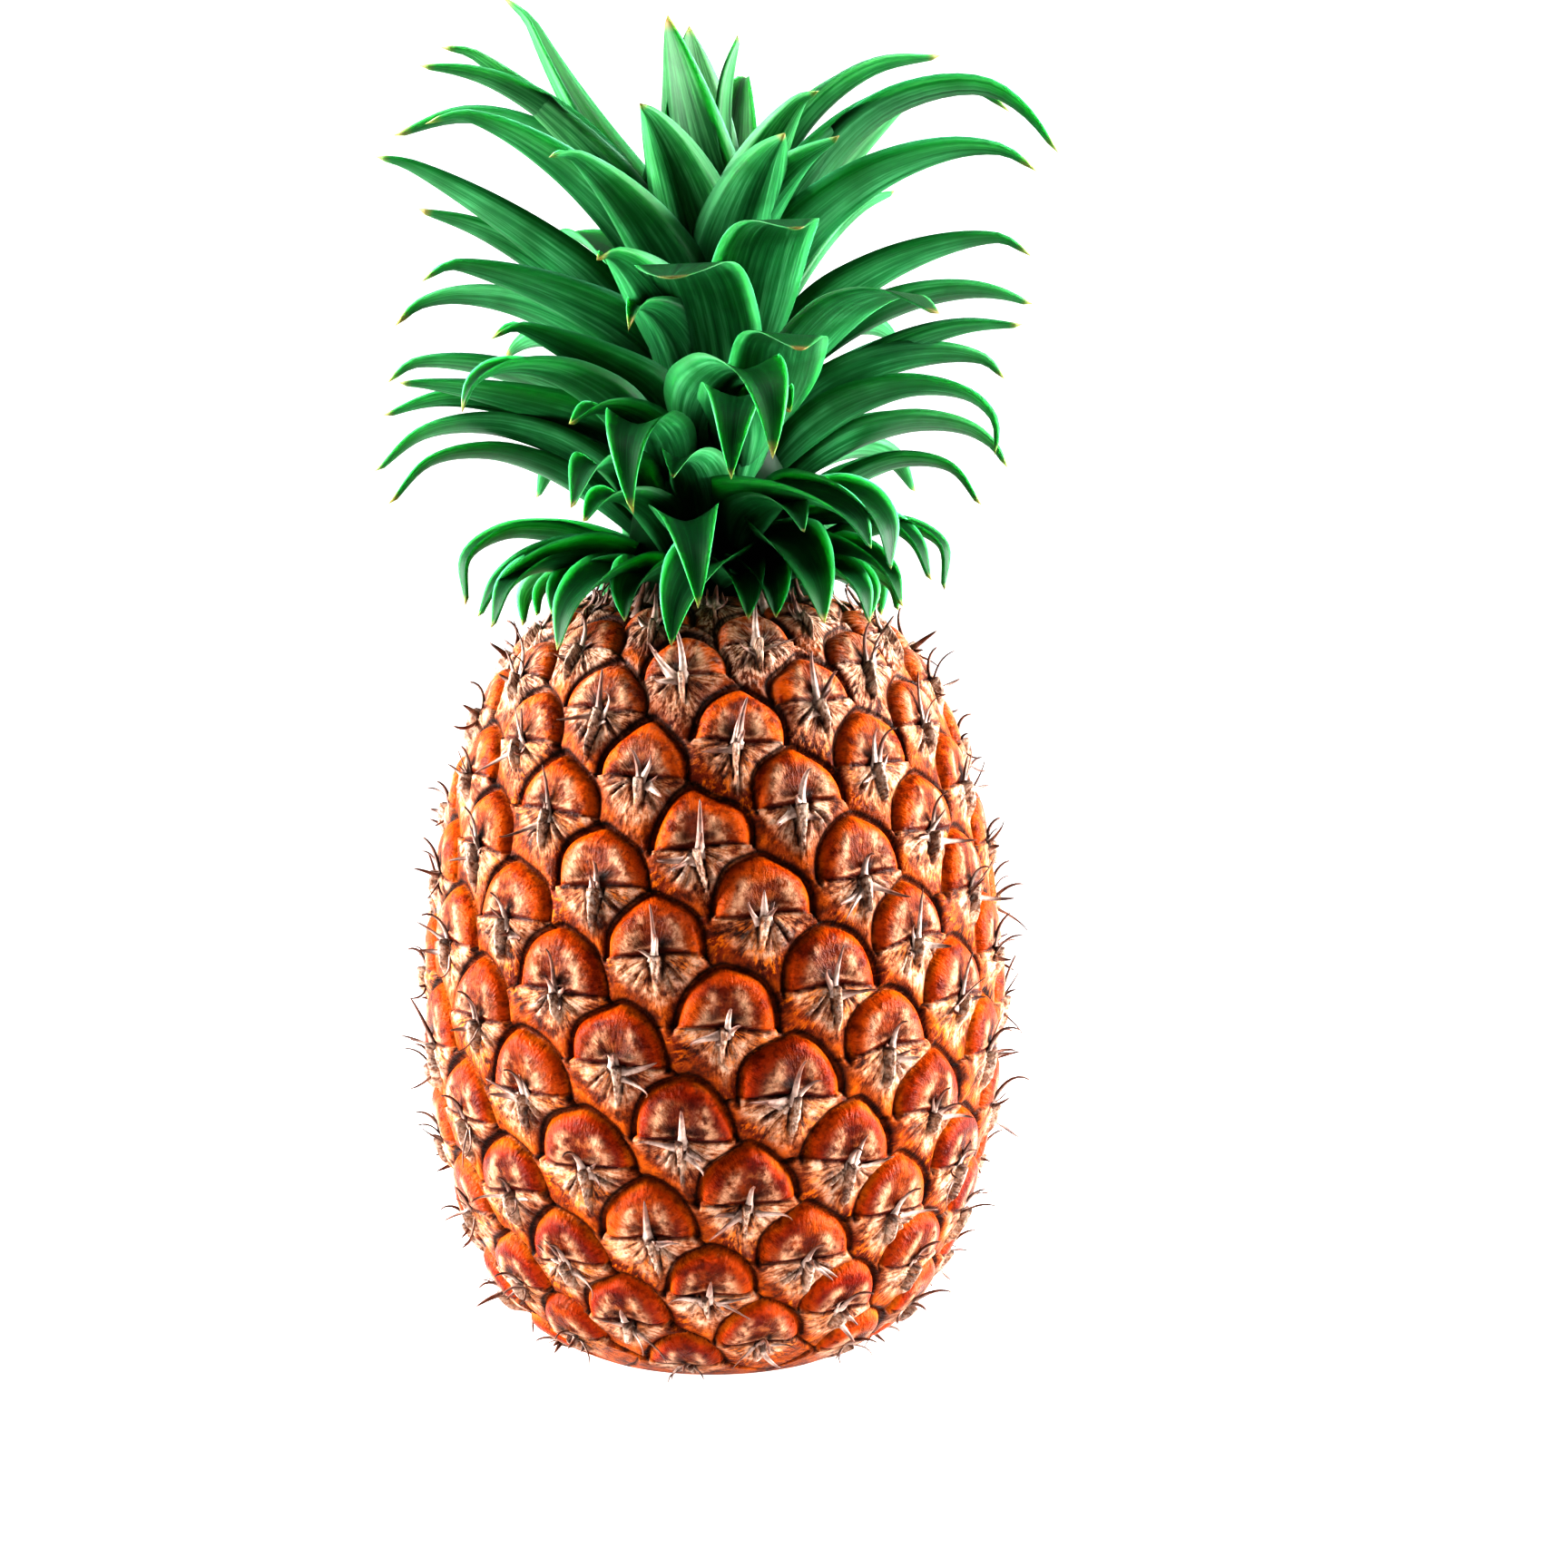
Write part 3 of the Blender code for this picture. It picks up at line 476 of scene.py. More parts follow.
def skin_relief(field, sizes, draws_by_eye):
    """Relief in metres and the masks that the skin's material reads."""
    inside = field.edge < 0.0
    eye = np.where(inside, field.dome_eye, field.bract_eye)
    across = np.where(inside, field.dome_across, field.bract_across)
    above = np.where(inside, field.dome_above, field.bract_above)
    size = sizes[eye]
    draws = draws_by_eye[eye]
    tone, wing_draw, top_draw, star_draw, lean_draw, keel_draw = np.moveaxis(draws, 2, 0)

    # Dome: a steep wall out of the groove, a swollen rim and a dish above the slit.
    beside = np.abs(across)
    depth = np.maximum(-field.edge, 0.0)
    wall = 1.0 - np.exp(-depth / RIM_WALL)
    from_slit = np.hypot(across / DISH_HALF_WIDTH, above / DISH_HEIGHT)
    dish = np.exp(-from_slit**2) * DOME_DISH * (1.0 + 0.3 * tone)
    slit = bump_at(above * size, 0.0, SLIT_WIDTH) * smooth(SLIT_HALF_LENGTH - beside, 0.0, 0.06)
    wing_half = WING_HALF_WIDTH - WING_TAPER * np.clip(above, 0.0, 0.42) + 0.03 * wing_draw
    wing_edge = beside / wing_half
    wing_rise = smooth(above, 0.03, 0.08) * smooth(WING_TOP + 0.05 * top_draw - above, 0.0, 0.12)
    fan = smooth(1.14 - wing_edge, 0.0, 0.22) * wing_rise
    fan_edge = bump_at(wing_edge, 0.80, 0.26) * wing_rise
    # Painted shadow of the spine on the dome, either side of its foot.
    spine_shadow = bump_at(above, 0.12, 0.05) * bump_at(beside, 0.13, 0.08)
    under_lip = LIP_ABOVE - LIP_FALL * beside
    lip_line = bump_at(above, under_lip, 0.020) * smooth(0.36 - beside, 0.0, 0.08)
    fan_edge = np.maximum(fan_edge, lip_line)
    # Between the pale lip line and the slit, a dark band: painted shade.
    below_lip = smooth(under_lip - above, 0.0, 0.02) * smooth(0.42 - beside, 0.0, 0.10)
    dome = GROOVE_FLOOR + (DOME_TOP - GROOVE_FLOOR) * wall - dish - SLIT_DEPTH * slit
    dome += WING_RISE * fan_edge

    # Bract: proud at the slit, falling towards its lobes, with folds that fan out from the spine's foot.
    spread = np.arctan2(across, np.abs(above) + 0.03)
    far = np.hypot(across, above - 0.02)
    fall = BRACT_TOP - BRACT_FALL * smooth(-above, 0.0, 0.5)
    keel_half = KEEL_WIDE - (KEEL_WIDE - KEEL_NARROW) * smooth(-above, 0.0, 0.5)
    keel_away = np.abs(across + 0.10 * above * lean_draw) / keel_half
    keel_reach = smooth(-above, -0.04, 0.02) * smooth(0.50 + 0.14 * keel_draw + above, 0.0, 0.25)
    keel = smooth(1.35 - keel_away, 0.0, 0.7) * keel_reach
    keel_lines = bump_at(keel_away, 1.55, 0.45) * keel_reach
    gaps, ridges = bract_folds(spread, far, draws)
    star = (beside / STAR_REACH) ** STAR_POWER + (np.maximum(-above, 0.0) / STAR_REACH) ** STAR_POWER
    star = smooth(1.12 + 0.12 * star_draw - star, 0.0, 0.30)
    gaps = np.maximum(gaps, keel_lines)
    ridges = np.maximum(ridges * (1.0 - keel_lines), keel)
    lip = fall + KEEL_RISE * keel + FOLD_RISE * (ridges - 1.6 * gaps)
    bank = 1.0 - np.exp(-np.maximum(field.edge, 0.0) / BRACT_WALL)
    seam = smooth(np.sqrt(field.second) - np.sqrt(field.first), 0.0, 0.14)
    bract = GROOVE_FLOOR + (lip - GROOVE_FLOOR) * np.minimum(bank, 0.35 + 0.65 * seam)

    relief = np.where(inside, dome, bract)
    # Grooves between eyes and seams between bracts are painted near black: painted shade in the creases.
    groove = bump_at(field.edge, GROOVE_MIDDLE, GROOVE_WIDTH)
    groove = np.maximum(groove, (1.0 - seam) * 0.8 * ~inside)
    # Painted shade: a dark band along each groove, on the bract outside it and on the dome inside it.
    shade = np.exp(-np.maximum(field.edge - GROOVE_MIDDLE, 0.0) / SHADE_OUTSIDE)
    shade = np.where(inside, np.exp(-depth / SHADE_INSIDE), shade)
    # A dark hole beside the spine's foot, on one side chosen by the tone: painted shade.
    side = np.where(tone > 0.0, 1.0, -1.0)
    hole = bump_at(across, HOLE_BESIDE * side, 0.045) * bump_at(above, HOLE_ABOVE, 0.075)
    masks = {"dome": inside, "rim": np.clip(depth / RIM_DEPTH, 0.0, 1.0), "groove": groove, "shade": shade,
             "slit": slit, "spread": spread, "far": far, "tone": tone}
    on_dome = {"fan": fan, "fan_edge": fan_edge, "below_lip": below_lip, "hole": hole, "spine_shadow": spine_shadow}
    on_bract = {"star": star, "ridges": ridges, "gaps": gaps, "lobe": smooth(far, 0.40, 0.62)}
    masks.update({name: values * inside for name, values in on_dome.items()})
    masks.update({name: values * ~inside for name, values in on_bract.items()})
    return relief, masks


def add_object(name, data):
    obj = bpy.data.objects.new(name, data)
    bpy.context.scene.collection.objects.link(obj)
    return obj


def grid_object(name, points):
    """A mesh from a grid of points, closed round its columns and over its last row."""
    rows, columns = points.shape[:2]
    mesh = bpy.data.meshes.new(name)
    starts = np.arange(rows - 1)[:, None] * columns
    here = np.arange(columns)[None, :]
    after = (here + 1) % columns
    quads = np.stack((starts + here, starts + after, starts + columns + after, starts + columns + here), -1)
    faces = [tuple(face) for face in quads.reshape(-1, 4).tolist()]
    faces.append(tuple(range((rows - 1) * columns, rows * columns)))
    mesh.from_pydata(points.reshape(-1, 3).tolist(), [], faces)
    mesh.shade_smooth()
    return add_object(name, mesh)


def add_mask(mesh, name, values):
    layer = mesh.attributes.new(name, "FLOAT", "POINT")
    layer.data.foreach_set("value", np.ascontiguousarray(values, dtype=np.float32).ravel())


def build_skin(barrel, sites):
    rng = random.Random(EYE_RANDOM_SEED + 2)
    draws = np.array([[rng.uniform(-1, 1) for _ in range(6)] for _ in sites])
    sizes = np.array([size for _, _, size in sites])
    angles = 2 * np.pi * np.arange(SKIN_COLUMNS) / SKIN_COLUMNS
    arcs = np.linspace(0.0, barrel.length, SKIN_ROWS)
    field = Field(barrel, sites, angles, arcs)
    relief, masks = skin_relief(field, sizes, draws)
    fade = np.clip(np.minimum(arcs, barrel.length - arcs) / RELIEF_FADE, 0.0, 1.0)[:, None]
    relief = relief * fade
    slope = barrel.slope(arcs)[:, None]
    away = barrel.radius(arcs)[:, None] + relief * np.cos(slope)
    level = np.maximum(barrel.height(arcs)[:, None] + relief * np.sin(slope), 0.0)

    # Under the base the skin runs level to the stalk, with dry folds that never reach below the ground.
    base_rng = random.Random(EYE_RANDOM_SEED + 3)
    inwards = np.linspace(0.0, 1.0, BASE_ROWS + 1)[1:]
    edge = float(barrel.radius(0.0))
    base_away = np.repeat((edge + (SOCKET_RADIUS - edge) * inwards)[:, None], SKIN_COLUMNS, 1)
    wrinkle = ripples(angles, inwards * 0.05, base_rng, BASE_WAVES, BASE_WAVE_TURNS)
    dent = np.clip(0.5 + 0.5 * wrinkle, 0.0, 1.0) * (4 * inwards * (1 - inwards))[:, None]
    base_level = BASE_WRINKLE * dent
    away = np.concatenate((base_away[::-1], away))
    level = np.concatenate((base_level[::-1], np.broadcast_to(level, (SKIN_ROWS, SKIN_COLUMNS))))
    drying = smooth(barrel.height(arcs), DRY_FROM, BODY_HEIGHT)[:, None]
    masks["dry"] = drying * (1.0 - 0.7 * masks["dome"])
    masks["high"] = np.repeat(smooth(barrel.height(arcs), 0.04, 0.14)[:, None], SKIN_COLUMNS, 1)
    points = np.stack((away * np.cos(angles), away * np.sin(angles), level), -1)
    skin = grid_object("skin", points)
    masks["base"] = np.zeros((SKIN_ROWS, SKIN_COLUMNS))
    for name, values in masks.items():
        under = np.full((BASE_ROWS, SKIN_COLUMNS), float(name == "base"))
        add_mask(skin.data, name, np.concatenate((under, values)))
    return skin


# Spines and dry shreds

def blade_points(start, directions, length, width, curl, lean, thickness):
    """Sections of a small tapered blade that leaves the skin and curls, as rings of four points."""
    sideways, upward, outward = directions
    rings = []
    place = start.copy()
    for i in range(SPINE_SEGMENTS + 1):
        share = i / SPINE_SEGMENTS
        rise = curl[0] + (curl[1] - curl[0]) * share**SPINE_CURL_POWER
        turn = lean * share
        along = upward * math.cos(rise) * math.cos(turn) + outward * math.sin(rise)
        along = (along + sideways * math.sin(turn) * math.cos(rise)).normalized()
        across = (sideways - along * sideways.dot(along)).normalized()
        normal = across.cross(along)
        foot = max(0.0, 1.0 - share / SPINE_FOOT_SHARE) ** SPINE_FOOT_POWER
        taper = SPINE_TAPER * (1.0 - share) ** SPINE_TAPER_POWER + (1.0 - SPINE_TAPER) * foot
        half = width / 2 * taper + BLADE_TIP_HALF
        thick = thickness / 2 * (1.0 - SPINE_THINNING * share) + BLADE_TIP_THICK
        rings.append([
            place - across * half,
            place - normal * thick,
            place + across * half,
            place + normal * thick,
        ])
        place = place + along * length / SPINE_SEGMENTS
    for ring in rings:
        for point in ring:
            point.z = max(point.z, 0.0)
    return rings


def add_vert(bm, point, layers, values):
    """A vertex that carries a value in each layer."""
    vert = bm.verts.new(point)
    for layer, value in zip(layers, values):
        vert[layer] = value
    return vert


def bridge(bm, sections):
    """Faces between each section of vertices and the next."""
    count = len(sections[0])
    for near, far in zip(sections, sections[1:]):
        for a in range(count):
            b = (a + 1) % count
            bm.faces.new((near[a], near[b], far[b], far[a]))


def add_blade(bm, rings, layers, tone):
    """A closed skin over a blade's rings. Its vertices carry their share of the length and the tone."""
    last = len(rings) - 1
    vert_rings = [[add_vert(bm, point, layers, (i / last, tone)) for point in ring]
                  for i, ring in enumerate(rings)]
    bridge(bm, vert_rings)
    bm.faces.new(vert_rings[0][::-1])
    bm.faces.new(vert_rings[-1])


def build_spines(barrel, sites):
    rng = random.Random(SPINE_RANDOM_SEED)
    bm = bmesh.new()
    layers = (bm.verts.layers.float.new("along"), bm.verts.layers.float.new("tone"))
    for angle, arc, size in sites:
        below_neck = barrel.length - arc
        grown = min(1.0, 0.35 + arc / 0.03, 0.30 + below_neck / 0.035)
        foot_arc = arc - SPINE_BELOW_SLIT * size
        if foot_arc < SPINE_LOWEST_FOOT:
            continue
        start = barrel.point(angle, foot_arc, BRACT_TOP * min(1.0, arc / RELIEF_FADE) - SPINE_SINK)
        directions = barrel.directions(angle, foot_arc)
        length = SPINE_LENGTH * grown * rng.uniform(0.55, 1.0)
        width = SPINE_FOOT_WIDTH * rng.uniform(0.8, 1.2)
        curl = (math.radians(rng.uniform(10, 20)), math.radians(rng.choice(SPINE_END_RISES)))
        lean = rng.choice((-1, 1)) * math.radians(rng.uniform(0, 28))
        rings = blade_points(start, directions, length, width, curl, lean, SPINE_THICKNESS)
        add_blade(bm, rings, layers, rng.uniform(-1, 1))
        for _ in range(SHREDS_PER_EYE):
            turn = rng.uniform(-SHRED_TURN, SHRED_TURN)
            sideways, upward, outward = directions
            heading = upward * math.cos(turn) + sideways * math.sin(turn)
            cross = sideways * math.cos(turn) - upward * math.sin(turn)
            offset = cross * rng.uniform(-0.0012, 0.0012) + heading * 0.0008
            curl = (math.radians(rng.uniform(5, 45)), math.radians(rng.uniform(0, 140)))
            rings = blade_points(
                start + offset + outward * 0.0003, (cross, heading, outward),
                SHRED_LENGTH * grown * rng.uniform(0.4, 1.3), rng.uniform(*SHRED_WIDTH),
                curl, rng.uniform(-0.5, 0.5), SHRED_THICKNESS)
            add_blade(bm, rings, layers, rng.uniform(-1, 1))
    for _ in range(NECK_SHREDS):
        angle = rng.uniform(0, 2 * math.pi)
        arc = barrel.length - rng.uniform(*NECK_SHRED_BELOW)
        start = barrel.point(angle, arc, -SPINE_SINK)
        curl = (math.radians(rng.uniform(5, 40)), math.radians(rng.uniform(0, 120)))
        rings = blade_points(
            start, barrel.directions(angle, arc), rng.uniform(*NECK_SHRED_LENGTH),
            rng.uniform(*NECK_SHRED_WIDTH), curl, rng.uniform(-0.6, 0.6), SPINE_SINK)
        add_blade(bm, rings, layers, rng.uniform(-1, 1))
    bmesh.ops.recalc_face_normals(bm, faces=bm.faces)
    return object_from(bm, "spines")


def object_from(bm, name):
    mesh = bpy.data.meshes.new(name)
    bm.to_mesh(mesh)
    bm.free()
    mesh.shade_smooth()
    return add_object(name, mesh)


# Crown

def stage_values(place):
    """Start slope, end slope, length and width for a leaf at a place from outermost (0) to heart (1)."""
    for lower, upper in zip(LEAF_STAGES, LEAF_STAGES[1:]):
        if place <= upper[0]:
            share = (place - lower[0]) / (upper[0] - lower[0])
            return [a + share * (b - a) for a, b in zip(lower[1:], upper[1:])]
    return list(LEAF_STAGES[-1][1:])


def leaf_width(share, sharpness):
    """Width of a blade as a share of its widest, from its root (0) to its tip (1)."""
    swell = math.sin(math.pi / 2 * min(1.0, share / WIDEST_PLACE))
    return (1.0 - share**sharpness) * (ROOT_WIDTH_SHARE + (1.0 - ROOT_WIDTH_SHARE) * swell)


def leaf_form(tip):
    """How blunt a leaf ends, how deep its channel is at the root and how much it flattens to the tip."""
    if not tip:
        return TIP_SHARPNESS, ROOT_CHANNEL, CHANNEL_FLATTENING
    if tip[1] < HEART_AWAY:
        return HEART_SHARPNESS, ROOT_CHANNEL * HEART_CHANNEL, CHANNEL_FLATTENING
    if (tip[0], tip[2]) in BLUNT_TIPS:
        return BLUNT_TIPS[tip[0], tip[2]], ROOT_CHANNEL * BLUNT_CHANNEL, CHANNEL_FLATTENING
    droop = min(1.0, max(0.0, -math.radians(tip[3])) / DROOP_SLOPE)
    return TIP_SHARPNESS, ROOT_CHANNEL, CHANNEL_FLATTENING + DROOP_FLATTENING * droop


def too_near_fruit(away, level):
    """Whether a leaf's rib this far from the axis and this high would touch the neck or the eyes."""
    below = BODY_HEIGHT - level
    if below < -NECK_CLEARANCE:
        return False
    relief = EYE_CLEARANCE * min(1.0, max(0.0, below) / RELIEF_FADE)
    return away < float(barrel_radius(min(level, BODY_HEIGHT))) + relief + NECK_CLEARANCE


def slope_at(start, end, share):
    """A leaf's slope along its length. The more its tip droops, the nearer to the tip it bends."""
    late = BEND_LATE + DROOP_LATER * min(1.0, max(0.0, -end) / DROOP_SLOPE)
    return start + (end - start) * share**late


def reach_of(start, end):
    """How far outwards and upwards a leaf of length 1 ends, by its start and end slope."""
    slopes = [slope_at(start, end, i / LEAF_SEGMENTS) for i in range(1, LEAF_SEGMENTS + 1)]
    out = sum(math.cos(slope) for slope in slopes) / LEAF_SEGMENTS
    up = sum(math.sin(slope) for slope in slopes) / LEAF_SEGMENTS
    return out, up


def aimed_slope(end, direction):
    """The start slope with which a leaf of a given end slope reaches its tip in the given direction."""
    low, high = direction, STEEPEST_START
    for _ in range(AIM_STEPS):
        middle = (low + high) / 2
        out, up = reach_of(middle, end)
        if math.atan2(up, out) < direction:
            low = middle
        else:
            high = middle
    return (low + high) / 2


def leaf_root(place):
    """Distance from the axis and height at which a leaf leaves the stem."""
    rise = LOWEST_LEAF + place**ROOT_CROWDING * (HIGHEST_LEAF - LOWEST_LEAF)
    stem = STEM_BOTTOM_RADIUS + rise / STEM_HEIGHT * (STEM_TOP_RADIUS - STEM_BOTTOM_RADIUS)
    return ROOT_SHARE_OF_STEM * stem, BODY_HEIGHT + rise


def leaf_bend(place, tip, rng):
    """Start slope, end slope and length of a leaf, from the tip it reaches or else from its place."""
    start, end, length, _ = stage_values(place)
    start += rng.uniform(-3, 3)
    end += rng.uniform(-7, 7)
    length *= rng.uniform(0.95, 1.05)
    if not tip:
        return math.radians(start), math.radians(end), length
    away, level = leaf_root(place)
    _, tip_away, tip_level, tip_slope = tip
    end = math.radians(tip_slope)
    start = aimed_slope(end, math.atan2(tip_level - level, tip_away - away))
    return start, end, math.hypot(tip_away - away, tip_level - level) / math.hypot(*reach_of(start, end))


def leaf_line(place, azimuth, tip, rng):
    """Points (distance from the axis, height, slope) along a leaf's rib, which bends clear of the fruit."""
    start, end, length = leaf_bend(place, tip, rng)
    if not tip and math.sin(azimuth) < BACK_LEAF_FROM:
        length *= INNER_LEAF_SHARE
    away, level = leaf_root(place)
    step = length / LEAF_SEGMENTS
    line = [(away, level, start)]
    for i in range(1, LEAF_SEGMENTS + 1):
        slope = slope_at(start, end, i / LEAF_SEGMENTS)
        out, up = step * math.cos(slope), step * math.sin(slope)
        while slope < STEEPEST_BEND and too_near_fruit(away + out, level + up):
            slope += BEND_STEP
            out, up = step * math.cos(slope), step * math.sin(slope)
        away += out
        level += up
        line.append((away, level, slope))
    return line


def leaf_sites():
    """Each leaf's (place, azimuth, tip). A tip goes to the free leaf that grows nearest below it."""
    sites = []
    for number in range(LEAF_COUNT):
        sites.append((number / (LEAF_COUNT - 1), FIRST_LEAF_ANGLE + number * GOLDEN_ANGLE))
    lowest, highest = LEAF_TIPS[0][2], LEAF_TIPS[-1][2]
    given = {}
    for tip in LEAF_TIPS:
        place = 1.0 if tip[1] < HEART_AWAY else TOP_OF_TIPS * (tip[2] - lowest) / (highest - lowest)

        def mismatch(number):
            turn = math.remainder(sites[number][1] - math.radians(tip[0]), 2 * math.pi)
            return abs(turn) / TURN_MISMATCH + abs(sites[number][0] - place) / PLACE_MISMATCH

        given[min((n for n in range(LEAF_COUNT) if n not in given), key=mismatch)] = tip
    return [(place, azimuth, given.get(number)) for number, (place, azimuth) in enumerate(sites)]


def skirt_sites(rng):
    """Short leaves in a ring at the foot of the crown, which cover the neck."""
    sites = []
    for number in range(SKIRT_COUNT):
        turn = rng.uniform(-SKIRT_TURN, SKIRT_TURN)
        sites.append((0.0, 2 * math.pi * number / SKIRT_COUNT + turn, None))
    return sites


def curve_through(points, per_segment):
    """A smooth curve through points, as rows of values, with per_segment steps between two points."""
    padded = [2 * points[0] - points[1]] + list(points) + [2 * points[-1] - points[-2]]
    fine = []
    for a, b, c, d in zip(padded, padded[1:], padded[2:], padded[3:]):
        for step in range(per_segment):
            t = step / per_segment
            fine.append(0.5 * (2 * b + (c - a) * t + (2 * a - 5 * b + 4 * c - d) * t**2
                               + (3 * b - a - 3 * c + d) * t**3))
    fine.append(points[-1])
    return fine


def curl_end(line, depth):
    """Bend the last part of a leaf's line under, by up to depth at its tip."""
    last = len(line) - 1
    for i, point in enumerate(line):
        curl = depth * max(0.0, (i / last - CURL_FROM) / (1 - CURL_FROM)) ** 2
        line[i] = point + curl * np.array([math.sin(point[2]), -math.cos(point[2]), 0.0])


def leaf_section(bm, layers, middle, axes, half, channel, values):
    """A section of a blade: its upper side, which is a channel, and back along its under side."""
    across, upward = axes
    share, tone, place = values
    upper, lower = [], []
    for i in range(-HALF_ACROSS, HALF_ACROSS + 1):
        step = i / HALF_ACROSS
        edge = abs(step) == 1.0
        base = middle + across * (half * step) + upward * (channel * abs(step) ** CHANNEL_POWER)
        upper.append(add_vert(bm, base, layers, (step, share, 0.5 if edge else 0.0, tone, place)))
        if edge:
            lower.append(upper[-1])
            continue
        thick = LEAF_EDGE_THICKNESS + (LEAF_RIB_THICKNESS - LEAF_EDGE_THICKNESS) * (1 - step * step)
        under = base - upward * thick * (1.0 - TIP_THINNING * share)
        lower.append(add_vert(bm, under, layers, (step, share, 1.0, tone, place)))
    return upper + lower[-2:0:-1]


def add_leaf(bm, layers, place, azimuth, tip, rng):
    """One blade: a curved channel with a thick rib and thin edges, closed all round."""
    width = stage_values(place)[3] * rng.uniform(0.94, 1.06)
    sway = rng.uniform(-LEAF_SWAY, LEAF_SWAY)
    roll = rng.uniform(-LEAF_ROLL, LEAF_ROLL)
    if tip:
        sway = math.remainder(math.radians(tip[0]) - azimuth, 2 * math.pi)
    sharpness, root_channel, flattening = leaf_form(tip)
    if tip and tip[1] < HEART_AWAY:
        width *= HEART_WIDENING
    coarse = [np.array(values) for values in leaf_line(place, azimuth, tip, rng)]
    tone = math.sin(azimuth * LEAF_TONE_TURN + place * LEAF_TONE_RISE)
    fine = curve_through(coarse, FINE_PER_SEGMENT)
    if place > CURL_ABOVE and sharpness == TIP_SHARPNESS:
        curl_end(fine, CURL_DEPTH * (0.5 + 0.5 * tone))
    last = len(fine) - 1
    sections = []
    for i, (away, level, _) in enumerate(fine[:-1]):
        share = i / last
        turn = azimuth + sway * (1 - (1 - share) ** 2)
        outward = Vector((math.cos(turn), math.sin(turn), 0))
        middle = outward * away + Vector((0, 0, level))
        ahead, behind = fine[i + 1], fine[max(i - 1, 0)]
        slope = math.atan2(ahead[1] - behind[1], ahead[0] - behind[0])
        along = outward * math.cos(slope) + Vector((0, 0, math.sin(slope)))
        across = Matrix.Rotation(roll * share, 3, along) @ Vector((-math.sin(turn), math.cos(turn), 0))
        upward = along.cross(across)
        half = width * leaf_width(share, sharpness) / 2
        channel = half * (root_channel - flattening * share)
        values = (share, tone, place)
        sections.append(leaf_section(bm, layers, middle, (across, upward), half, channel, values))
    away, level, _ = fine[-1]
    end = (away * math.cos(azimuth + sway), away * math.sin(azimuth + sway), level)
    point = add_vert(bm, end, layers, (0.0, 1.0, 0.5, tone, place))
    bm.faces.new(sections[0])
    bridge(bm, sections)
    for near, after in zip(sections[-1], sections[-1][1:] + sections[-1][:1]):
        bm.faces.new((near, after, point))


def build_leaves():
    rng = random.Random(LEAF_RANDOM_SEED)
    bm = bmesh.new()
    names = ("across", "along", "under", "tone", "place")
    layers = [bm.verts.layers.float.new(name) for name in names]
    for place, azimuth, tip in leaf_sites() + skirt_sites(rng):
        add_leaf(bm, layers, place, azimuth, tip, rng)
    for place, azimuth, *tip in FILLER_LEAVES:
        add_leaf(bm, layers, place, math.radians(azimuth), tip, rng)
    middle = Matrix.Translation((0, 0, BODY_HEIGHT + STEM_HEIGHT / 2))
    bmesh.ops.create_cone(bm, cap_ends=True, segments=32, radius1=STEM_BOTTOM_RADIUS,
                          radius2=STEM_TOP_RADIUS, depth=STEM_HEIGHT, matrix=middle)
    bmesh.ops.recalc_face_normals(bm, faces=bm.faces)
    return object_from(bm, "leaves")


# Materials

class Nodes:
    """Short calls for the nodes of one material."""

    def __init__(self, name):
        self.material = bpy.data.materials.new(name)
        self.material.use_nodes = True
        self.tree = self.material.node_tree
        self.shader = self.tree.nodes["Principled BSDF"]

    def set(self, name, value):
        """Link or set a socket of the shader."""
        self.put(self.shader.inputs[name], value)

    def put(self, socket, value):
        if isinstance(value, bpy.types.NodeSocket):
            self.tree.links.new(value, socket)
        else:
            socket.default_value = value

    def add(self, kind, *values):
        """A new node, with its first sockets linked or set."""
        node = self.tree.nodes.new("ShaderNode" + kind)
        for socket, value in zip(node.inputs, values):
            self.put(socket, value)
        return node

    def mask(self, name):
        node = self.add("Attribute")
        node.attribute_name = name
        return node.outputs["Fac"]

    def place(self):
        return self.add("TexCoord").outputs["Object"]

    def depth(self):
        return self.add("SeparateXYZ", self.place()).outputs["Y"]

    def math(self, operation, first, second=0.0):
        node = self.add("Math", first, second)
        node.operation = operation
        return node.outputs[0]

    def times(self, first, second):
        return self.math("MULTIPLY", first, second)

    def join(self, x, y, z):
        return self.add("CombineXYZ", x, y, z).outputs[0]

    def mix(self, share, first, second, blend="MIX"):
        node = self.add("Mix")
        node.data_type = "RGBA"
        node.blend_type = blend
        self.put(node.inputs["Factor"], share)
        self.put(node.inputs[6], shader_colour(first))
        self.put(node.inputs[7], shader_colour(second))
        return node.outputs[2]

    def over(self, under, mask, share, colour):
        """A colour laid over another where a mask is set."""
        return self.mix(self.times(self.mask(mask), share), under, colour)

    def noise(self, vector, scale, detail=3.0, roughness=0.5):
        node = self.add("TexNoise", vector)
        node.inputs["Scale"].default_value = scale
        node.inputs["Detail"].default_value = detail
        node.inputs["Roughness"].default_value = roughness
        return node.outputs["Fac"]

    def ramp(self, value, *stops):
        """A ramp of (place, colour or grey value) stops."""
        node = self.add("ValToRGB", value)
        elements = node.color_ramp.elements
        while len(elements) < len(stops):
            elements.new(0.5)
        for element, (place, colour) in zip(elements, stops):
            element.position = place
            grey = not isinstance(colour, tuple)
            element.color = (colour, colour, colour, 1.0) if grey else shader_colour(colour)
        return node.outputs[0]

    def bump(self, height, distance, strength=1.0):
        node = self.add("Bump")
        node.inputs["Distance"].default_value = distance
        node.inputs["Strength"].default_value = strength
        self.put(node.inputs["Height"], height)
        self.set("Normal", node.outputs[0])


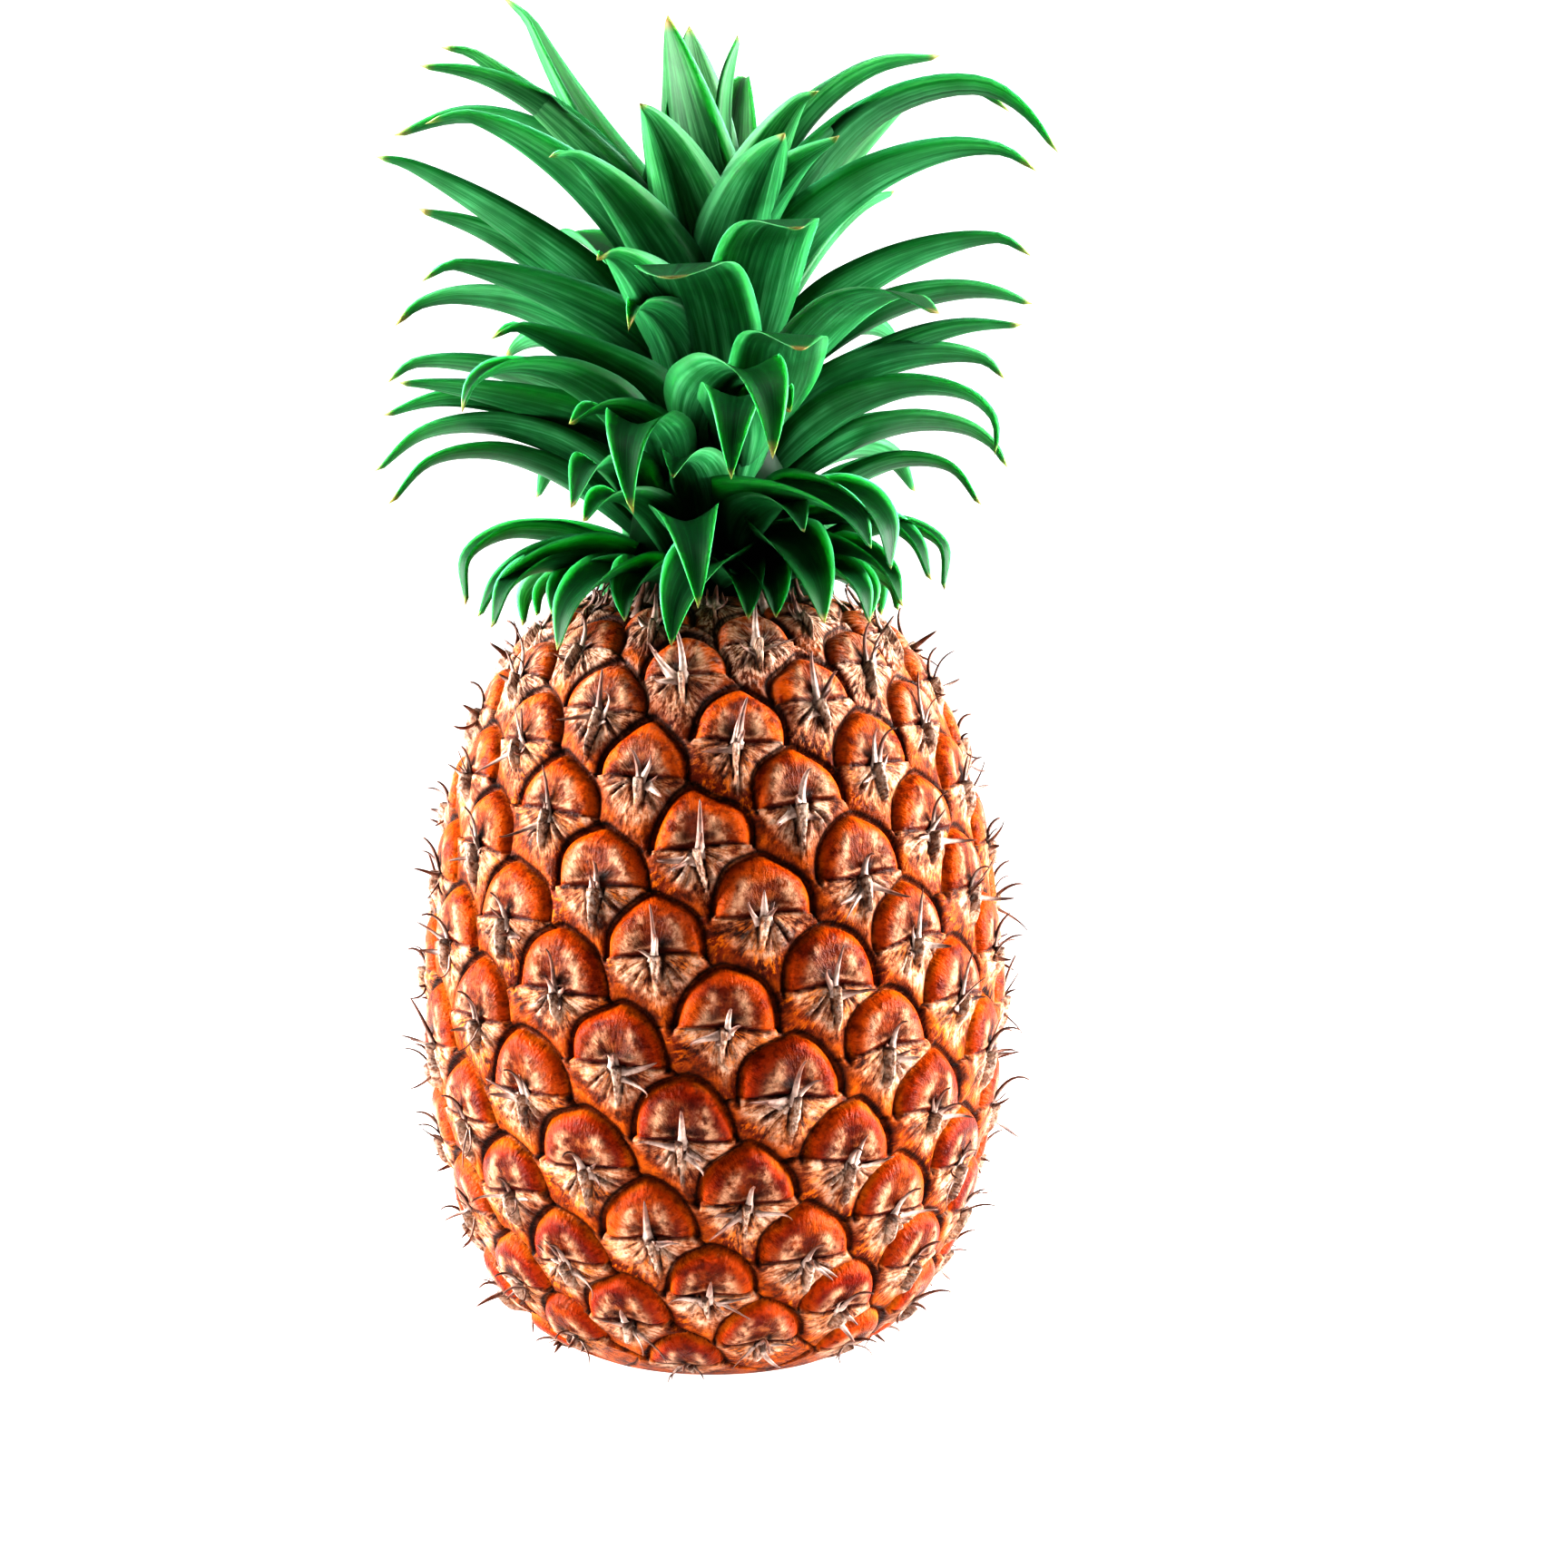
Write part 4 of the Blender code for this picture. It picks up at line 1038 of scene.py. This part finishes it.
def skin_material():
    n = Nodes("pineapple_rind")
    place = n.place()
    blotch = n.noise(place, 300.0, 4.0, 0.6)
    patch = n.noise(place, 95.0, 3.0, 0.6)
    fine = n.noise(place, 1300.0, 3.0, 0.6)
    tone = n.mask("tone")

    along_streaks = n.join(n.times(n.mask("spread"), 3.8), n.times(n.mask("far"), 3.0), tone)
    streak = n.noise(along_streaks, 3.0, 4.0, 0.65)
    mottle = n.noise(place, 460.0, 4.0, 0.65)

    # Dome, from the groove to its middle: orange edge, then red brown with darker blotches.
    rim = n.math("ADD", n.mask("rim"), n.times(n.math("SUBTRACT", patch, 0.5), 0.7))
    dome = n.ramp(rim, (0.00, (218, 112, 6)), (0.14, (184, 66, 3)), (0.34, (120, 26, 1)),
                  (0.66, (84, 14, 1)), (0.95, (88, 22, 2)))
    bright = n.ramp(n.math("ADD", n.times(tone, 0.12), patch), (0.45, 0.0), (0.72, 0.6))
    riper = n.times(n.mask("high"), n.ramp(blotch, (0.40, 0.2), (0.56, 0.85)))
    dome = n.mix(n.math("MAXIMUM", bright, riper), dome, (206, 94, 4))
    dome = n.mix(n.ramp(blotch, (0.36, 0.5), (0.49, 0.0)), dome, (60, 9, 1))
    fan = n.ramp(mottle, (0.38, (80, 24, 6)), (0.50, (108, 40, 12)), (0.64, (158, 92, 52)))
    dome = n.over(dome, "fan", n.ramp(blotch, (0.36, 0.2), (0.52, 0.9)), fan)
    pale = n.ramp(mottle, (0.36, (136, 68, 34)), (0.56, (206, 156, 124)))
    dome = n.over(dome, "fan_edge", n.ramp(blotch, (0.36, 0.1), (0.48, 0.95)), pale)
    # Painted shadow of the spine beside its foot.
    dome = n.over(dome, "spine_shadow", 0.7, (38, 14, 5))
    # Painted shade in the band between the lip line and the slit.
    dome = n.over(dome, "below_lip", 0.85, (72, 9, 1))
    # Painted shade in a small hole beside the spine's foot.
    dome = n.mix(n.mask("hole"), dome, (20, 10, 6))

    # Bract, with streaks that run out from the spine's foot.
    grain = n.math("ADD", n.times(streak, 0.4), n.times(blotch, 0.6))
    bract = n.ramp(grain, (0.38, (46, 14, 3)), (0.46, (100, 34, 4)), (0.54, (152, 64, 8)),
                   (0.63, (208, 108, 10)))
    star = n.ramp(grain, (0.38, (58, 26, 14)), (0.44, (124, 62, 32)), (0.50, (184, 122, 84)),
                  (0.58, (222, 182, 156)))
    bract = n.over(bract, "star", n.ramp(patch, (0.36, 0.6), (0.50, 1.0)), star)
    lobe = n.ramp(patch, (0.40, (214, 106, 6)), (0.58, (98, 26, 3)))
    bract = n.over(bract, "lobe", n.ramp(blotch, (0.36, 0.15), (0.54, 0.85)), lobe)
    flame = n.times(n.ramp(streak, (0.50, 0.0), (0.60, 0.9)), n.ramp(patch, (0.50, 0.0), (0.60, 0.9)))
    bract = n.mix(flame, bract, (220, 116, 6))
    silver = n.ramp(fine, (0.38, (118, 84, 66)), (0.58, (212, 188, 172)))
    bract = n.over(bract, "ridges", 0.8, silver)
    # Near black in the fold gaps and beside the keel: painted shade.
    bract = n.over(bract, "gaps", 0.97, (18, 8, 5))

    colour = n.mix(n.mask("dome"), bract, dome)
    # Painted shade in a band along the grooves.
    colour = n.over(colour, "shade", n.ramp(patch, (0.38, 0.95), (0.60, 0.4)), (82, 22, 2))
    # The sunk slit is also painted dark: painted shade in the crease.
    colour = n.over(colour, "slit", 0.85, (26, 5, 1))
    # Near black in the grooves: painted shade.
    groove = n.math("POWER", n.mask("groove"), n.ramp(blotch, (0.35, 0.8), (0.62, 1.8)))
    colour = n.mix(groove, colour, (16, 5, 1))
    dry_share = n.times(n.mask("dry"), n.ramp(patch, (0.42, 0.1), (0.58, 0.85)))
    dry = n.ramp(streak, (0.40, (54, 30, 20)), (0.48, (150, 100, 72)), (0.58, (232, 206, 188)))
    colour = n.mix(n.times(dry_share, n.math("SUBTRACT", 1.0, n.mask("groove"))), colour, dry)
    speckle = n.ramp(n.noise(place, 800.0, 4.0, 0.7), (0.34, 0.42), (0.52, 0.82))
    colour = n.mix(1.0, colour, speckle, "MULTIPLY")
    base = n.ramp(n.noise(place, 320.0, 4.0), (0.35, (92, 56, 30)), (0.65, (164, 116, 70)))
    colour = n.mix(n.mask("base"), colour, base)
    n.set("Base Color", colour)

    gloss = n.ramp(blotch, (0.3, 0.22), (0.7, 0.42))
    rough = n.mix(n.mask("dome"), (0.42, 0.42, 0.42, 1.0), gloss)
    n.set("Roughness", rough)
    n.set("Specular IOR Level", 0.06)
    height = n.math("ADD", n.times(fine, 0.5), streak)
    n.bump(height, 0.0007, 0.7)
    return n.material


def spine_material():
    n = Nodes("dry_spine")
    grain = n.noise(n.place(), 700.0, 4.0, 0.6)
    pale = n.ramp(grain, (0.3, (112, 82, 68)), (0.65, (180, 156, 144)))
    brown = n.ramp(grain, (0.3, (40, 16, 8)), (0.65, (104, 54, 30)))
    tip = n.ramp(n.math("ADD", n.mask("along"), n.times(n.mask("tone"), 0.3)), (0.26, 0.0), (0.66, 0.95))
    n.set("Base Color", n.mix(tip, pale, brown))
    n.set("Roughness", n.ramp(grain, (0.3, 0.5), (0.7, 0.75)))
    n.bump(grain, 0.0003, 0.6)
    return n.material


def leaf_material():
    n = Nodes("crown_leaf")
    across, along = n.mask("across"), n.mask("along")
    tone = n.mask("tone")
    lines = n.noise(n.join(n.times(across, 9.0), n.times(along, 1.8), tone), 1.3, 5.0, 0.6)
    patch = n.noise(n.place(), 60.0, 3.0, 0.5)
    upper = n.ramp(lines, (0.28, (2, 38, 15)), (0.50, (6, 52, 24)), (0.74, (22, 80, 44)))
    lower = n.ramp(lines, (0.28, (14, 74, 36)), (0.50, (36, 106, 60)), (0.74, (76, 146, 98)))
    colour = n.mix(n.mask("under"), upper, lower)
    heart = n.ramp(n.mask("place"), (0.80, 0.0), (0.96, 0.4))
    colour = n.mix(heart, colour, n.ramp(lines, (0.38, (14, 78, 34)), (0.60, (92, 156, 98))))
    vivid = n.ramp(patch, (0.42, 0.0), (0.62, 0.6))
    colour = n.mix(vivid, colour, (6, 62, 20))
    # Paler along the edges of each blade: painted highlight.
    rim = n.ramp(n.math("ABSOLUTE", across), (0.86, 0.0), (0.98, 0.3))
    colour = n.mix(rim, colour, (36, 112, 52))
    # Darker towards the root of each leaf and on the stem: painted shade in the crown's middle.
    root = n.ramp(along, (0.0, 0.8), (0.2, 0.0))
    colour = n.mix(root, colour, (2, 34, 10))
    worn = n.times(n.math("SUBTRACT", patch, 0.5), 0.10)
    tip = n.ramp(n.math("ADD", along, worn), (0.955, 0.0), (0.99, 0.8))
    colour = n.mix(tip, colour, (122, 92, 50))
    n.set("Base Color", colour)
    n.set("Roughness", n.ramp(lines, (0.3, 0.42), (0.7, 0.58)))
    n.set("Specular IOR Level", 0.12)
    n.set("Subsurface Weight", 0.22)
    n.set("Subsurface Radius", (0.4, 1.0, 0.4))
    n.set("Subsurface Scale", 0.003)
    n.bump(lines, 0.0003, 0.25)
    return n.material


def stalk_material():
    n = Nodes("cut_stalk_fibre")
    place = n.place()
    fibre = n.noise(place, 900.0, 4.0, 0.6)
    patch = n.noise(place, 160.0, 3.0, 0.5)
    colour = n.ramp(fibre, (0.3, (150, 118, 70)), (0.55, (196, 166, 108)), (0.75, (222, 200, 150)))
    colour = n.mix(n.ramp(patch, (0.45, 0.0), (0.7, 0.6)), colour, (128, 92, 54))
    n.set("Base Color", colour)
    n.set("Roughness", n.ramp(fibre, (0.3, 0.7), (0.7, 0.9)))
    n.bump(fibre, 0.0005, 0.8)
    return n.material


def floor_material():
    n = Nodes("studio_floor")
    grain = n.noise(n.place(), 30.0)
    n.set("Base Color", n.ramp(grain, (0.3, 0.80), (0.7, 0.82)))
    n.set("Roughness", 0.8)
    n.set("Emission Color", (1.0, 1.0, 1.0, 1.0))
    n.set("Emission Strength", n.ramp(n.math("ADD", n.depth(), GLOW_SHIFT), *GLOW))
    return n.material


# Stage

def build_floor():
    """A pale floor that turns up into a wall far behind."""
    bm = bmesh.new()
    profile = [(FLOOR_FRONT, 0.0), (FLOOR_DEPTH, 0.0)]
    for i in range(1, FLOOR_BEND_STEPS + 1):
        turn = math.pi / 2 * i / FLOOR_BEND_STEPS
        profile.append((FLOOR_DEPTH + FLOOR_BEND * math.sin(turn), FLOOR_BEND * (1 - math.cos(turn))))
    profile.append((FLOOR_DEPTH + FLOOR_BEND, FLOOR_WALL))
    rows = [[bm.verts.new((x, y, z)) for x in (-FLOOR_SIDE, FLOOR_SIDE)] for y, z in profile]
    for near, far in zip(rows, rows[1:]):
        bm.faces.new((near[0], near[1], far[1], far[0]))
    floor = object_from(bm, "studio_floor")
    floor.data.materials.append(floor_material())


def add_light(name, place, size, power, spread):
    data = bpy.data.lights.new(name, "AREA")
    data.shape = "RECTANGLE"
    data.size, data.size_y = size
    data.energy = power
    data.spread = spread
    light = add_object(name, data)
    light.location = place
    light.rotation_euler = (Vector(LIGHTS_AIM) - Vector(place)).to_track_quat("-Z", "Y").to_euler()


def build_lights():
    for light in LIGHTS:
        add_light(*light)
    world = bpy.data.worlds.new("studio")
    world.use_nodes = True
    background = world.node_tree.nodes["Background"]
    background.inputs["Color"].default_value = (1.0, 1.0, 1.0, 1.0)
    background.inputs["Strength"].default_value = WORLD_LIGHT
    bpy.context.scene.world = world


def build_camera():
    data = bpy.data.cameras.new("photo_camera")
    data.lens = CAMERA_LENS
    data.sensor_width = CAMERA_SENSOR
    camera = add_object("photo_camera", data)
    camera.location = CAMERA_PLACE
    camera.rotation_euler = (math.pi / 2 - CAMERA_DOWN, 0.0, CAMERA_TURN)
    bpy.context.scene.camera = camera


def main():
    scene = bpy.context.scene
    scene.view_settings.view_transform = "Standard"
    scene.view_settings.look = "High Contrast"
    build_camera()
    build_lights()
    build_floor()
    barrel = Barrel()
    sites = eye_sites(barrel)
    skin = build_skin(barrel, sites)
    skin.data.materials.append(skin_material())
    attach(skin, "root")
    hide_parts("fruit")
    spines = build_spines(barrel, sites)
    spines.data.materials.append(spine_material())
    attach(spines, "root")
    leaves = build_leaves()
    leaves.data.materials.append(leaf_material())
    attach(leaves, "root")
    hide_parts("crown")
    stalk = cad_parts["cut_stalk"]
    material = stalk_material()
    if not stalk.material_slots:
        stalk.data.materials.append(material)
    for slot in stalk.material_slots:
        slot.material = material


main()
